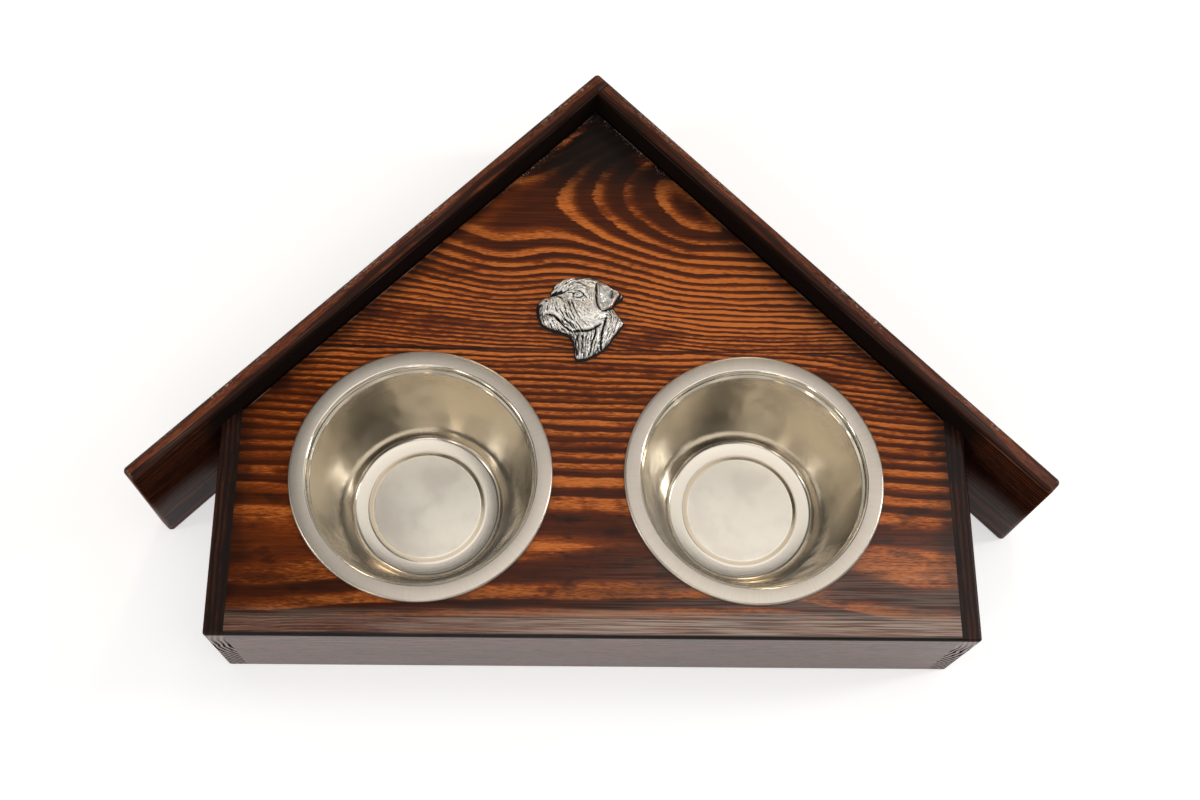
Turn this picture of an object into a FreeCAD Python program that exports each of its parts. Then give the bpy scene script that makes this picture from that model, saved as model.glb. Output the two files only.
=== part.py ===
import FreeCAD, Part
import os
import Sketcher

# A house-shaped stand of pine boards that holds two steel dog bowls.
# Millimetres. +Z is up, the front faces -Y, and the ridge of the roof lies on X = 0.
# The origin is on the floor, under the middle of the whole stand.

SIZES = (
    # Bowls
    ("rim_diameter", "160", "outer diameter of a bowl's rim"),
    ("rim_width", "11", "flat rim, from its edge in to the neck"),
    ("rim_drop", "2.2", "height of the rim's turned-down edge"),
    ("steel", "0.8", "thickness of the bowl's sheet"),
    ("bend", "1", "inside radius of the bends at the rim and the neck"),
    ("neck_depth", "5", "straight neck under the rim"),
    ("neck_step", "1.5", "how far the wall steps in under the neck"),
    ("bowl_depth", "71", "rim to floor, inside the bowl"),
    ("floor_diameter", "95", "floor of the bowl, inside"),
    ("floor_bend", "6", "inside radius between wall and floor"),
    ("floor_ring", "11.5", "flat ring of the floor around the raised disc"),
    ("disc_rise", "1.5", "height of the raised disc"),
    # Layout of the bowls on the panel
    ("rim_gap", "43", "between the rims of the two bowls"),
    ("side_margin", "35.5", "rim to side board, mean of both sides"),
    ("front_margin", "8", "rim to front board"),
    ("joint_margin", "3", "rim to the joint of the panel boards"),
    ("bowl_shift", "5", "the pair of bowls sits this far left of the middle"),
    ("hole_room", "2", "room around a bowl's neck in its hole"),
    ("under_bowl", "15.4", "room under a bowl"),
    # Boards
    ("board", "12", "thickness of the front, side and roof boards"),
    ("panel_thickness", "12", "thickness of the panel boards"),
    ("side_depth", "129", "length of a side board along its outer face"),
    ("roof_rise", "19", "roof boards stand this far above the panel"),
    ("eave_reach", "52", "eaves run out this far past the sides"),
    ("panel_gap", "1", "open line between the panel and the roof boards"),
    ("roof_round", "3", "rounding of the roof boards' edges"),
    ("edge_round", "2", "rounding of the base's outer edges"),
    ("panel_round", "1.2", "eased edge of the panel along the roof"),
    # Cleats, batten and glue blocks under the panel
    ("cleat_width", "14", "width of a cleat"),
    ("cleat_height", "18", "height of a cleat and of the batten"),
    ("batten_width", "30", "width of the batten"),
    ("batten_reach", "60", "batten runs this far past the panel joint"),
    ("block_leg", "30", "leg of a three-cornered glue block"),
    ("block_lift", "5", "room under a glue block"),
    # Screws that hold the panel
    ("screw_shank", "3.5", "shank diameter"),
    ("screw_head", "7", "head diameter"),
    ("screw_head_height", "2.4", "head height"),
    ("screw_bite", "8", "depth of a screw in the panel"),
    ("screw_fit", "0.1", "room around a shank and past its point"),
    ("screw_inset", "15", "screw to the end of its cleat, or to the panel joint"),
    ("recess_width", "1", "width of the cross recess in a head"),
    ("recess_depth", "1.2", "depth of the cross recess"),
    # Cast dog's head
    ("head_width", "56", "width of the dog's head"),
    ("head_plate", "2.5", "height of the casting at its outline"),
    ("head_relief", "8.5", "height of the casting at its highest"),
    ("head_rise", "22", "middle of the head behind the panel joint"),
    ("head_shift", "10.5", "middle of the head left of the ridge"),
)

doc = FreeCAD.newDocument("dog_bowl_stand")
sheet = doc.addObject("Spreadsheet::Sheet", "sizes")
for row, (alias, number, meaning) in enumerate(SIZES, start=1):
    sheet.set(f"A{row}", meaning)
    sheet.set(f"B{row}", number)
    sheet.setAlias(f"B{row}", alias)
doc.recompute()

# Plan of the stand, with depths measured back from the front face of the base
ROOT2 = "sqrt(2)"
HALF_WIDTH = "(sizes.board + sizes.side_margin + sizes.rim_diameter + sizes.rim_gap / 2)"
INSIDE_X = f"({HALF_WIDTH} - sizes.board)"
RIDGE_INSIDE = f"(sizes.side_depth + {HALF_WIDTH})"
RIDGE_OUTSIDE = f"({RIDGE_INSIDE} + {ROOT2} * sizes.board)"
EAVE_CORNER = f"({RIDGE_INSIDE} - {INSIDE_X})"
ROOF_LENGTH = f"(({HALF_WIDTH} + sizes.eave_reach) * {ROOT2})"
ROOF_INSIDE_LENGTH = f"({INSIDE_X} * {ROOT2})"
MIDDLE = f"(({RIDGE_OUTSIDE} - sizes.roof_round * ({ROOT2} - 1)) / 2)"
JOINT = "(sizes.board + sizes.front_margin + sizes.rim_diameter + sizes.joint_margin)"
BOWL_DEPTHWISE = "(sizes.board + sizes.front_margin + sizes.rim_diameter / 2)"
HALF_PITCH = "((sizes.rim_diameter + sizes.rim_gap) / 2)"
PANEL_RIDGE = f"({RIDGE_INSIDE} - {ROOT2} * sizes.panel_gap)"

# Levels above the floor
BASE_TOP = "(sizes.under_bowl + sizes.steel + sizes.bowl_depth - sizes.rim_drop)"
ROOF_TOP = f"({BASE_TOP} + sizes.roof_rise)"
PANEL_UNDER = f"({BASE_TOP} - sizes.panel_thickness)"
CLEAT_UNDER = f"({PANEL_UNDER} - sizes.cleat_height)"

# A bowl's neck, measured from its own axis
NECK_RADIUS = "(sizes.rim_diameter / 2 - sizes.rim_width)"
HOLE_RADIUS = f"({NECK_RADIUS} + sizes.steel + sizes.hole_room)"

SIDES = (("left", "-1"), ("right", "1"))
BOWL_X = {side: f"({sign} * {HALF_PITCH} - sizes.bowl_shift)" for side, sign in SIDES}
NEAR = 0.001

nodes = []


def value(expression):
    """Number that an expression over the sheet's sizes comes to."""
    return float(sheet.evalExpression(expression))


def back(depth):
    """Y of a depth measured back from the front face of the base."""
    return f"({depth} - {MIDDLE})"


def add_body(label):
    """Empty body that becomes a node of the stand."""
    body = doc.addObject("PartDesign::Body", label)
    body.Label = label
    nodes.append(body)
    return body


def place(item, x, y, z, turn=0):
    """Put a body at expressions for its place, turned about the vertical."""
    item.Placement.Rotation = FreeCAD.Rotation(FreeCAD.Vector(0, 0, 1), turn)
    for axis, expression in zip("xyz", (x, y, z)):
        item.setExpression(f"Placement.Base.{axis}", expression)


def origin_plane(body, role):
    """One of a body's own origin planes."""
    return next(item for item in body.Origin.OriginFeatures if item.Role == role)


def add_sketch(body, name, role="XY_Plane", level="0"):
    """Sketch on one of the body's origin planes, raised to a level."""
    sketch = body.newObject("Sketcher::SketchObject", name)
    sketch.AttachmentSupport = [(origin_plane(body, role), "")]
    sketch.MapMode = "FlatFace"
    sketch.setExpression("AttachmentOffset.Base.z", level)
    return sketch


def pin_point(sketch, geometry, vertex, point):
    """Hold a point of a sketch at a pair of expressions."""
    for kind, expression in zip(("DistanceX", "DistanceY"), point):
        constraint = Sketcher.Constraint(kind, -1, 1, geometry, vertex, value(expression))
        index = sketch.addConstraint(constraint)
        sketch.setExpression(f"Constraints[{index}]", expression)


def draw_polygon(sketch, points):
    """Closed outline through points given as pairs of expressions."""
    corners = [FreeCAD.Vector(value(x), value(y), 0) for x, y in points]
    first = sketch.GeometryCount
    count = len(points)
    for index, corner in enumerate(corners):
        sketch.addGeometry(Part.LineSegment(corner, corners[(index + 1) % count]))
    for index, point in enumerate(points):
        following = first + (index + 1) % count
        sketch.addConstraint(Sketcher.Constraint("Coincident", first + index, 2, following, 1))
        pin_point(sketch, first + index, 1, point)


def draw_circles(sketch, centres, radius):
    """Equal circles at points given as pairs of expressions."""
    for x, y in centres:
        centre = FreeCAD.Vector(value(x), value(y), 0)
        circle = Part.Circle(centre, FreeCAD.Vector(0, 0, 1), value(radius))
        geometry = sketch.addGeometry(circle)
        pin_point(sketch, geometry, 3, (x, y))
        index = sketch.addConstraint(Sketcher.Constraint("Radius", geometry, value(radius)))
        sketch.setExpression(f"Constraints[{index}]", radius)


def pad(body, sketch, length):
    """Solid raised from a sketch."""
    feature = body.newObject("PartDesign::Pad", "pad")
    feature.Profile = sketch
    feature.setExpression("Length", length)
    sketch.Visibility = False
    doc.recompute()
    return feature


def bore_up(body, centres, radius, level, depth):
    """Round holes drilled upwards from a level."""
    sketch = add_sketch(body, "holes", level=level)
    draw_circles(sketch, centres, radius)
    feature = body.newObject("PartDesign::Pocket", "drilling")
    feature.Profile = sketch
    feature.Reversed = True
    feature.setExpression("Length", depth)
    before = feature.BaseFeature.Shape.Volume
    doc.recompute()
    if feature.Shape.Volume >= before:
        raise RuntimeError(f"{body.Label}: the holes cut nothing")
    return feature


def add_box(body, length, width, height):
    """Squared board from the body's own corner."""
    box = body.newObject("PartDesign::AdditiveBox", "board")
    for name, expression in (("Length", length), ("Width", width), ("Height", height)):
        box.setExpression(name, expression)
    doc.recompute()
    return box


def round_edges(body, base, radius, wanted):
    """Round the edges of a feature that pass a test."""
    picked = []
    for index, edge in enumerate(base.Shape.Edges, start=1):
        if wanted(edge):
            picked.append(f"Edge{index}")
    fillet = body.newObject("PartDesign::Fillet", "rounding")
    fillet.Base = (base, picked)
    fillet.setExpression("Radius", radius)
    doc.recompute()
    return fillet


def lies_at(edge, **places):
    """True if an edge keeps to the given coordinates over its whole length."""
    box = edge.BoundBox
    spans = {"x": (box.XMin, box.XMax), "y": (box.YMin, box.YMax), "z": (box.ZMin, box.ZMax)}
    return all(abs(end - at) < NEAR for axis, at in places.items() for end in spans[axis])


# Screws: the cleats' lines of screws, and the batten's
front_screw_y = back("(sizes.board + sizes.cleat_width / 2)")
front_screw_x = f"({INSIDE_X} - sizes.block_leg - sizes.screw_inset)"
FRONT_SCREWS = [(f"{sign} * {x}", front_screw_y) for _, sign in SIDES
                for x in (front_screw_x, "(2 * sizes.screw_inset)")]

side_screw_x = f"({INSIDE_X} - sizes.cleat_width / 2)"
side_screw_ys = (
    back("(sizes.board + sizes.block_leg + sizes.screw_inset)"),
    back(f"({EAVE_CORNER} - sizes.block_leg - sizes.screw_inset)"),
)
SIDE_SCREWS = {side: [(f"{sign} * {side_screw_x}", y) for y in side_screw_ys] for side, sign in SIDES}

# Distance of each roof cleat's screws from the eave corner, along the roof board
roof_screw_runs = (
    "(sizes.block_leg + sizes.screw_inset)",
    f"({ROOF_INSIDE_LENGTH} / 2)",
    f"({ROOF_INSIDE_LENGTH} - sizes.block_leg - sizes.screw_inset)",
)
ROOF_SCREWS = {}
for side, sign in SIDES:
    across = "(sizes.cleat_width / 2)"
    ROOF_SCREWS[side] = [
        (f"{sign} * ({INSIDE_X} - ({run} + {across}) / {ROOT2})",
         back(f"({EAVE_CORNER} + ({run} - {across}) / {ROOT2})"))
        for run in roof_screw_runs
    ]

batten_x = "(-sizes.bowl_shift)"
BATTEN_FRONT = "(sizes.board + sizes.cleat_width)"
BATTEN_BACK = f"({JOINT} + sizes.batten_reach)"
BATTEN_SCREWS = [
    (batten_x, back(f"({BATTEN_FRONT} + sizes.screw_inset)")),
    (batten_x, back(f"({JOINT} - sizes.screw_inset)")),
    (batten_x, back(f"({JOINT} + sizes.screw_inset)")),
    (batten_x, back(f"({BATTEN_BACK} - sizes.screw_inset)")),
]
SHANK_HOLE = "(sizes.screw_shank / 2 + sizes.screw_fit)"
PILOT_DEPTH = "(sizes.screw_bite + sizes.screw_fit)"
ALL_SCREWS = FRONT_SCREWS + BATTEN_SCREWS
for side, _ in SIDES:
    ALL_SCREWS = ALL_SCREWS + SIDE_SCREWS[side] + ROOF_SCREWS[side]


def on_roof_line(edge):
    """True for the panel's top edges along the roof boards."""
    box = edge.BoundBox
    return lies_at(edge, z=value(BASE_TOP)) and abs(box.XLength - box.YLength) < NEAR and box.XLength > 1


def make_panel(label, points, holes=()):
    """Panel board, eased along the roof and drilled from below for the screws."""
    body = add_body(label)
    sketch = add_sketch(body, "outline", level=PANEL_UNDER)
    draw_polygon(sketch, points)
    draw_circles(sketch, holes, HOLE_RADIUS)
    solid = pad(body, sketch, "sizes.panel_thickness")
    round_edges(body, solid, "sizes.panel_round", on_roof_line)
    bore_up(body, ALL_SCREWS, SHANK_HOLE, PANEL_UNDER, PILOT_DEPTH)


joint_half = f"({PANEL_RIDGE} - {JOINT})"
shoulder = back(f"({PANEL_RIDGE} - {INSIDE_X})")
panel_front = back("sizes.board")
make_panel(
    "panel_lower",
    [
        (f"-{INSIDE_X}", panel_front),
        (INSIDE_X, panel_front),
        (INSIDE_X, shoulder),
        (joint_half, back(JOINT)),
        (f"-{joint_half}", back(JOINT)),
        (f"-{INSIDE_X}", shoulder),
    ],
    holes=[(BOWL_X[side], back(BOWL_DEPTHWISE)) for side, _ in SIDES],
)
make_panel(
    "panel_upper",
    [
        (f"-{joint_half}", back(JOINT)),
        (joint_half, back(JOINT)),
        ("0", back(PANEL_RIDGE)),
    ],
)


def make_front_board():
    """Board between the side boards, its top front edge rounded."""
    body = add_body("front_board")
    place(body, f"-{INSIDE_X}", back("0"), "0")
    box = add_box(body, f"2 * {INSIDE_X}", "sizes.board", BASE_TOP)
    round_edges(body, box, "sizes.edge_round", lambda edge: lies_at(edge, y=0, z=value(BASE_TOP)))


def make_side_board(side, sign):
    """Board that runs through to the front and is cut on the slant to meet the roof."""
    body = add_body(f"{side}_side")
    sketch = add_sketch(body, "outline")
    outer = f"{sign} * {HALF_WIDTH}"
    inner = f"{sign} * {INSIDE_X}"
    draw_polygon(sketch, [
        (outer, back("0")),
        (inner, back("0")),
        (inner, back(EAVE_CORNER)),
        (outer, back("sizes.side_depth")),
    ])
    solid = pad(body, sketch, BASE_TOP)
    outer_x = value(outer)
    front_y = value(back("0"))
    top = value(BASE_TOP)

    def outside(edge):
        upright = lies_at(edge, x=outer_x, y=front_y)
        return upright or lies_at(edge, x=outer_x, z=top) or lies_at(edge, y=front_y, z=top)

    round_edges(body, solid, "sizes.edge_round", outside)


def make_roof_boards():
    """Left roof board runs through at the ridge, and the right one butts against its inner face."""
    left = add_body("roof_left")
    place(left, "0", back(RIDGE_OUTSIDE), "0", turn=225)
    box = add_box(left, ROOF_LENGTH, "sizes.board", ROOF_TOP)
    thickness = value("sizes.board")
    round_edges(left, box, "sizes.roof_round", lambda edge: not lies_at(edge, x=0, y=thickness))

    right = add_body("roof_right")
    place(right, "0", back(RIDGE_INSIDE), "0", turn=-45)
    box = add_box(right, f"({ROOF_LENGTH} - sizes.board)", "sizes.board", ROOF_TOP)
    round_edges(right, box, "sizes.roof_round", lambda edge: not lies_at(edge, x=0))


def make_cleat(label, centres, corner, length, width, turn=0):
    """Strip under the panel with its corner at a place in plan, drilled for its screws."""
    body = add_body(label)
    outline = add_sketch(body, "outline", level=CLEAT_UNDER)
    ends = [("0", "0"), (length, "0"), (length, width), ("0", width)]
    cosine = f"cos({turn} deg)"
    sine = f"sin({turn} deg)"
    draw_polygon(outline, [
        (f"({corner[0]} + ({along}) * {cosine} - ({over}) * {sine})",
         f"({corner[1]} + ({along}) * {sine} + ({over}) * {cosine})")
        for along, over in ends
    ])
    pad(body, outline, "sizes.cleat_height")
    bore_up(body, centres, SHANK_HOLE, CLEAT_UNDER, "sizes.cleat_height")


def make_cleats():
    """Cleats along every wall, and the batten across the panel joint."""
    make_cleat(
        "front_cleat", FRONT_SCREWS,
        (f"(-{INSIDE_X} + sizes.block_leg)", back("sizes.board")),
        f"(2 * ({INSIDE_X} - sizes.block_leg))", "sizes.cleat_width",
    )
    side_start = back("(sizes.board + sizes.block_leg)")
    side_run = f"({EAVE_CORNER} - sizes.board - 2 * sizes.block_leg)"
    make_cleat(
        "left_cleat", SIDE_SCREWS["left"],
        (f"(-{INSIDE_X})", side_start), "sizes.cleat_width", side_run,
    )
    make_cleat(
        "right_cleat", SIDE_SCREWS["right"],
        (f"({INSIDE_X} - sizes.cleat_width)", side_start), "sizes.cleat_width", side_run,
    )
    roof_run = f"({ROOF_INSIDE_LENGTH} - 2 * sizes.block_leg)"
    along_leg = f"(sizes.block_leg / {ROOT2})"
    make_cleat(
        "roof_cleat_left", ROOF_SCREWS["left"],
        (f"(-{along_leg})", back(f"({RIDGE_INSIDE} - {along_leg})")),
        roof_run, "sizes.cleat_width", turn=225,
    )
    make_cleat(
        "roof_cleat_right", ROOF_SCREWS["right"],
        (f"({INSIDE_X} - {along_leg})", back(f"({EAVE_CORNER} + {along_leg})")),
        roof_run, "sizes.cleat_width", turn=135,
    )
    make_cleat(
        "panel_batten", BATTEN_SCREWS,
        (f"({batten_x} - sizes.batten_width / 2)", back(BATTEN_FRONT)),
        "sizes.batten_width", f"({BATTEN_BACK} - {BATTEN_FRONT})",
    )


def make_block(label, points):
    """Three-cornered glue block in a corner of the frame, under the panel."""
    body = add_body(label)
    sketch = add_sketch(body, "outline", level="sizes.block_lift")
    draw_polygon(sketch, points)
    pad(body, sketch, f"({PANEL_UNDER} - sizes.block_lift)")


def make_blocks():
    """Glue blocks in the front corners, under the eaves and in the ridge."""
    slant_leg = f"(sizes.block_leg / {ROOT2})"
    for side, sign in SIDES:
        wall = f"{sign} * {INSIDE_X}"
        make_block(f"front_block_{side}", [
            (wall, back("sizes.board")),
            (f"{sign} * ({INSIDE_X} - sizes.block_leg)", back("sizes.board")),
            (wall, back("(sizes.board + sizes.block_leg)")),
        ])
        make_block(f"eave_block_{side}", [
            (wall, back(EAVE_CORNER)),
            (wall, back(f"({EAVE_CORNER} - sizes.block_leg)")),
            (f"{sign} * ({INSIDE_X} - {slant_leg})", back(f"({EAVE_CORNER} + {slant_leg})")),
        ])
    make_block("ridge_block", [
        ("0", back(RIDGE_INSIDE)),
        (f"-{slant_leg}", back(f"({RIDGE_INSIDE} - {slant_leg})")),
        (slant_leg, back(f"({RIDGE_INSIDE} - {slant_leg})")),
    ])


def make_screws():
    """One wood screw, set by links at every hole and gathered as one node."""
    screw = doc.addObject("PartDesign::Body", "screw")
    profile = add_sketch(screw, "profile", role="XZ_Plane")
    head = "sizes.screw_head / 2"
    shank = "sizes.screw_shank / 2"
    tip = "(sizes.cleat_height + sizes.screw_bite)"
    draw_polygon(profile, [
        ("0", "-sizes.screw_head_height"),
        (head, "-sizes.screw_head_height"),
        (head, "0"),
        (shank, "0"),
        (shank, f"({tip} - {shank})"),
        ("0", tip),
    ])
    turned = screw.newObject("PartDesign::Revolution", "turned")
    turned.Profile = profile
    turned.ReferenceAxis = (profile, ["V_Axis"])
    turned.Angle = 360
    doc.recompute()
    before = turned.Shape.Volume
    arm = "(sizes.screw_head / 3)"
    half = "(sizes.recess_width / 2)"
    cross = add_sketch(screw, "cross", level="-sizes.screw_head_height")
    draw_polygon(cross, [
        (f"-{arm}", f"-{half}"), (f"-{half}", f"-{half}"), (f"-{half}", f"-{arm}"),
        (half, f"-{arm}"), (half, f"-{half}"), (arm, f"-{half}"),
        (arm, half), (half, half), (half, arm),
        (f"-{half}", arm), (f"-{half}", half), (f"-{arm}", half),
    ])
    recess = screw.newObject("PartDesign::Pocket", "recess")
    recess.Profile = cross
    recess.Reversed = True
    recess.setExpression("Length", "sizes.recess_depth")
    doc.recompute()
    if recess.Shape.Volume >= before:
        raise RuntimeError("screw: the recess cuts nothing")
    links = []
    for x, y in ALL_SCREWS:
        link = doc.addObject("App::Link", "screw_place")
        link.LinkedObject = screw
        link.LinkTransform = False
        place(link, x, y, CLEAT_UNDER)
        links.append(link)
    group = doc.addObject("Part::Compound", "panel_screws")
    group.Label = "panel_screws"
    group.Links = links
    nodes.append(group)


def make_bowl(side):
    """Pressed bowl: a turned-down rim, a short neck, a tapered wall and a floor with a raised disc."""
    body = add_body(f"bowl_{side}")
    place(body, BOWL_X[side], back(BOWL_DEPTHWISE), f"({BASE_TOP} + sizes.rim_drop)")
    rim = "sizes.rim_diameter / 2"
    wall = f"({NECK_RADIUS} - sizes.neck_step)"
    floor = "sizes.floor_diameter / 2"
    disc = "(sizes.floor_diameter / 2 - sizes.floor_ring)"
    sheet_under = "(sizes.bowl_depth + sizes.steel)"
    step = "(sizes.neck_depth + sizes.neck_step)"
    profile = add_sketch(body, "profile", role="XZ_Plane")
    draw_polygon(profile, [
        (rim, "-sizes.rim_drop"),
        (rim, "0"),
        (NECK_RADIUS, "0"),
        (NECK_RADIUS, "-sizes.neck_depth"),
        (wall, f"-{step}"),
        (floor, "-sizes.bowl_depth"),
        (disc, "-sizes.bowl_depth"),
        (f"({disc} - sizes.disc_rise)", "(sizes.disc_rise - sizes.bowl_depth)"),
        ("0", "(sizes.disc_rise - sizes.bowl_depth)"),
        ("0", f"(sizes.disc_rise - {sheet_under})"),
        (f"({disc} - sizes.disc_rise)", f"(sizes.disc_rise - {sheet_under})"),
        (disc, f"-{sheet_under}"),
        (f"({floor} + sizes.steel)", f"-{sheet_under}"),
        (f"({wall} + sizes.steel)", f"-{step}"),
        (f"({NECK_RADIUS} + sizes.steel)", "-sizes.neck_depth"),
        (f"({NECK_RADIUS} + sizes.steel)", "-sizes.steel"),
        (f"({rim} - sizes.steel)", "-sizes.steel"),
        (f"({rim} - sizes.steel)", "-sizes.rim_drop"),
    ])
    pressed = body.newObject("PartDesign::Revolution", "pressed")
    pressed.Profile = profile
    pressed.ReferenceAxis = (profile, ["V_Axis"])
    pressed.Angle = 360
    doc.recompute()

    def ring_at(radius, level):
        def test(edge):
            round_edge = abs(edge.BoundBox.XMax - value(radius)) < NEAR
            return round_edge and lies_at(edge, z=value(level))
        return test

    bends = (
        (rim, "0", "(sizes.bend + sizes.steel)"),
        (NECK_RADIUS, "0", "(sizes.bend + sizes.steel)"),
        (f"({rim} - sizes.steel)", "-sizes.steel", "sizes.bend"),
        (f"({NECK_RADIUS} + sizes.steel)", "-sizes.steel", "sizes.bend"),
        (wall, f"-{step}", "(sizes.bend + sizes.steel)"),
        (floor, "-sizes.bowl_depth", "sizes.floor_bend"),
        (f"({floor} + sizes.steel)", f"-{sheet_under}", "(sizes.floor_bend + sizes.steel)"),
    )
    feature = pressed
    for radius, level, bend in bends:
        feature = round_edges(body, feature, bend, ring_at(radius, level))


# Outline of the dog's head, facing left, drawn for a head 56 mm wide: from the nose over the crown,
# down the ear and the nape, round the cut of the neck and up the throat to the chin
HEAD_DRAWN = 56
HEAD_OUTLINE = (
    (-28, 6), (-25.5, 10), (-20, 12.5), (-19.5, 17), (-16, 21.5), (-9, 25.5), (1, 27), (11, 26), (18, 22),
    (24, 17), (27, 13.5), (24.5, 10), (21, 6.5), (24, 1), (28, -4.5), (24, -10.5), (17.5, -20), (11, -25),
    (3.5, -29.5), (-2, -30), (-4.5, -27), (-5.5, -20), (-7, -13.5), (-12.5, -11), (-20, -9), (-25, -6),
    (-26.5, -2.5), (-28, 2),
)
# Swelling forms of the head: middle, half-lengths across and along, height as a share of the relief,
# and turn in degrees
HEAD_FORMS = {
    "skull": ((2, 14), (19, 14), 0.92, 0),
    "cheek": ((2, 0), (17, 15), 1.0, 0),
    "muzzle": ((-17, 3), (14, 11), 0.95, -8),
    "beard": ((-13, -4), (14, 8), 0.8, -25),
    "ear": ((15, 14), (9.5, 13), 1.0, -22),
    "neck": ((7, -16), (17, 20), 0.62, -35),
}


def make_dog_head():
    """Cast relief of a terrier's head, flat behind."""
    scale = value("sizes.head_width") / HEAD_DRAWN
    relief = value("sizes.head_relief")
    points = [FreeCAD.Vector(x * scale, y * scale, 0) for x, y in HEAD_OUTLINE]
    curve = Part.BSplineCurve()
    curve.interpolate(Points=points, PeriodicFlag=True)
    face = Part.Face(Part.Wire(curve.toShape()))
    plate = face.extrude(FreeCAD.Vector(0, 0, value("sizes.head_plate")))
    prism = face.extrude(FreeCAD.Vector(0, 0, 2 * relief))
    swelling = []
    for middle, reach, share, turn in HEAD_FORMS.values():
        matrix = FreeCAD.Matrix()
        matrix.scale(reach[0] * scale, reach[1] * scale, relief * share)
        form = Part.makeSphere(1).transformGeometry(matrix)
        spin = FreeCAD.Rotation(FreeCAD.Vector(0, 0, 1), turn)
        form.Placement = FreeCAD.Placement(FreeCAD.Vector(middle[0] * scale, middle[1] * scale, 0), spin)
        swelling.append(form)
    domes = swelling[0].multiFuse(swelling[1:]).common(prism)
    head = doc.addObject("Part::Feature", "dog_head")
    head.Label = "dog_head"
    head.Shape = plate.fuse(domes).removeSplitter()
    place(head, "(-sizes.head_shift)", back(f"({JOINT} + sizes.head_rise)"), BASE_TOP)
    nodes.append(head)


make_front_board()
for side, sign in SIDES:
    make_side_board(side, sign)
make_roof_boards()
make_cleats()
make_blocks()
make_screws()
for side, _ in SIDES:
    make_bowl(side)
make_dog_head()
doc.recompute()

for item in doc.Objects:
    if "Invalid" in item.State or "Error" in item.State:
        raise RuntimeError(f"{item.Label} failed: {item.State}")
for node in nodes:
    if node.Shape.isNull() or not node.Shape.isValid() or not node.Shape.Solids:
        raise RuntimeError(f"{node.Label} has no valid solid")

os.makedirs("parts", exist_ok=True)
for node in nodes:
    node.Shape.exportStep(f"parts/{node.Label}.step")
    box = node.Shape.BoundBox
    low = f"{box.XMin:.1f} {box.YMin:.1f} {box.ZMin:.1f}"
    high = f"{box.XMax:.1f} {box.YMax:.1f} {box.ZMax:.1f}"
    print(f"{node.Label}: {len(node.Shape.Solids)} solid(s), {node.Shape.Volume:.0f} mm3, {low} to {high}")
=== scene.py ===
import math
from functools import reduce

import bpy
import numpy as np
from mathutils import Matrix, Vector, geometry


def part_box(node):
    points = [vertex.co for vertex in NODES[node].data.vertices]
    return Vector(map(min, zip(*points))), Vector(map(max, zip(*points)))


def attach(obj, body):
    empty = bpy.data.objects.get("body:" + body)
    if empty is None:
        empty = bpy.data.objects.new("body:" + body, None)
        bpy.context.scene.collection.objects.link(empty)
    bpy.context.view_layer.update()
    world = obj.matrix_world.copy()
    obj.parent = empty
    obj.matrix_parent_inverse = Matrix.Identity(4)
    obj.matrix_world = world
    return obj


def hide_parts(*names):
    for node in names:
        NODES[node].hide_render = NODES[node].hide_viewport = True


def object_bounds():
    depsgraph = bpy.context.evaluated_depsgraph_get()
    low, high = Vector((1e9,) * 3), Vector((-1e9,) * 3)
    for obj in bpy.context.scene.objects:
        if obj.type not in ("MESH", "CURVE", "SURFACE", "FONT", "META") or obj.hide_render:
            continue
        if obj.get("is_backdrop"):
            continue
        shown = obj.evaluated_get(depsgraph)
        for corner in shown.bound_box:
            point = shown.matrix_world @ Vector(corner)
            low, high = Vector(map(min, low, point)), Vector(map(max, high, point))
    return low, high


bl_info = {
    "name": "Dog bowl stand",
    "version": (1, 0, 0),
    "blender": (4, 5, 0),
    "location": "3D View > Sidebar > Bowl Stand",
    "description": "Finishes a house-shaped stand: burnt pine boards, steel bowls and a cast dog's head",
    "category": "Object",
}

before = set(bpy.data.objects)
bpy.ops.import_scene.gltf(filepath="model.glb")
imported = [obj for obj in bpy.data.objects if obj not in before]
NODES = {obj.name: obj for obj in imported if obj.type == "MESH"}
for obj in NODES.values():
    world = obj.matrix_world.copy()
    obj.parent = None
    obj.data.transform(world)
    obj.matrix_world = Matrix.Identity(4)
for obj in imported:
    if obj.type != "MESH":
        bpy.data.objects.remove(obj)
CAD_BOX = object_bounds()
MM = 0.001


def box_mm(node):
    """Lowest and highest corner of a CAD node, in millimetres."""
    low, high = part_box(node)
    return low / MM, high / MM


PANEL_TOP = box_mm("panel_lower")[1].z
PANEL_HALF = box_mm("panel_lower")[1].x
PANEL_RIDGE = box_mm("panel_upper")[1].y
PANEL_JOINT = box_mm("panel_upper")[0].y
FRONT_FACE = box_mm("front_board")[0].y
FRONT_INSIDE = box_mm("front_board")[1].y
BASE_HALF = box_mm("right_side")[1].x
ROOF_TOP = box_mm("roof_left")[1].z
ROOF_BOARD = FRONT_INSIDE - FRONT_FACE
ROOF_INSIDE = min(point.co.y - point.co.x for point in NODES["roof_left"].data.vertices) / MM


# Settings

def colour(name, description, value):
    """Colour setting, in linear light."""
    return bpy.props.FloatVectorProperty(
        name=name, description=description, default=(*value, 1), size=4, min=0, max=1, subtype="COLOR")


def length(name, description, value):
    """Length setting, in metres."""
    return bpy.props.FloatProperty(name=name, description=description, default=value, unit="LENGTH")


def share(name, description, value):
    """Setting from 0 to 1."""
    return bpy.props.FloatProperty(
        name=name, description=description, default=value, min=0, max=1, subtype="FACTOR")


def tilt(name, description, degrees):
    """Angle setting, given in degrees."""
    return bpy.props.FloatProperty(
        name=name, description=description, default=math.radians(degrees), subtype="ANGLE")


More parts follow.
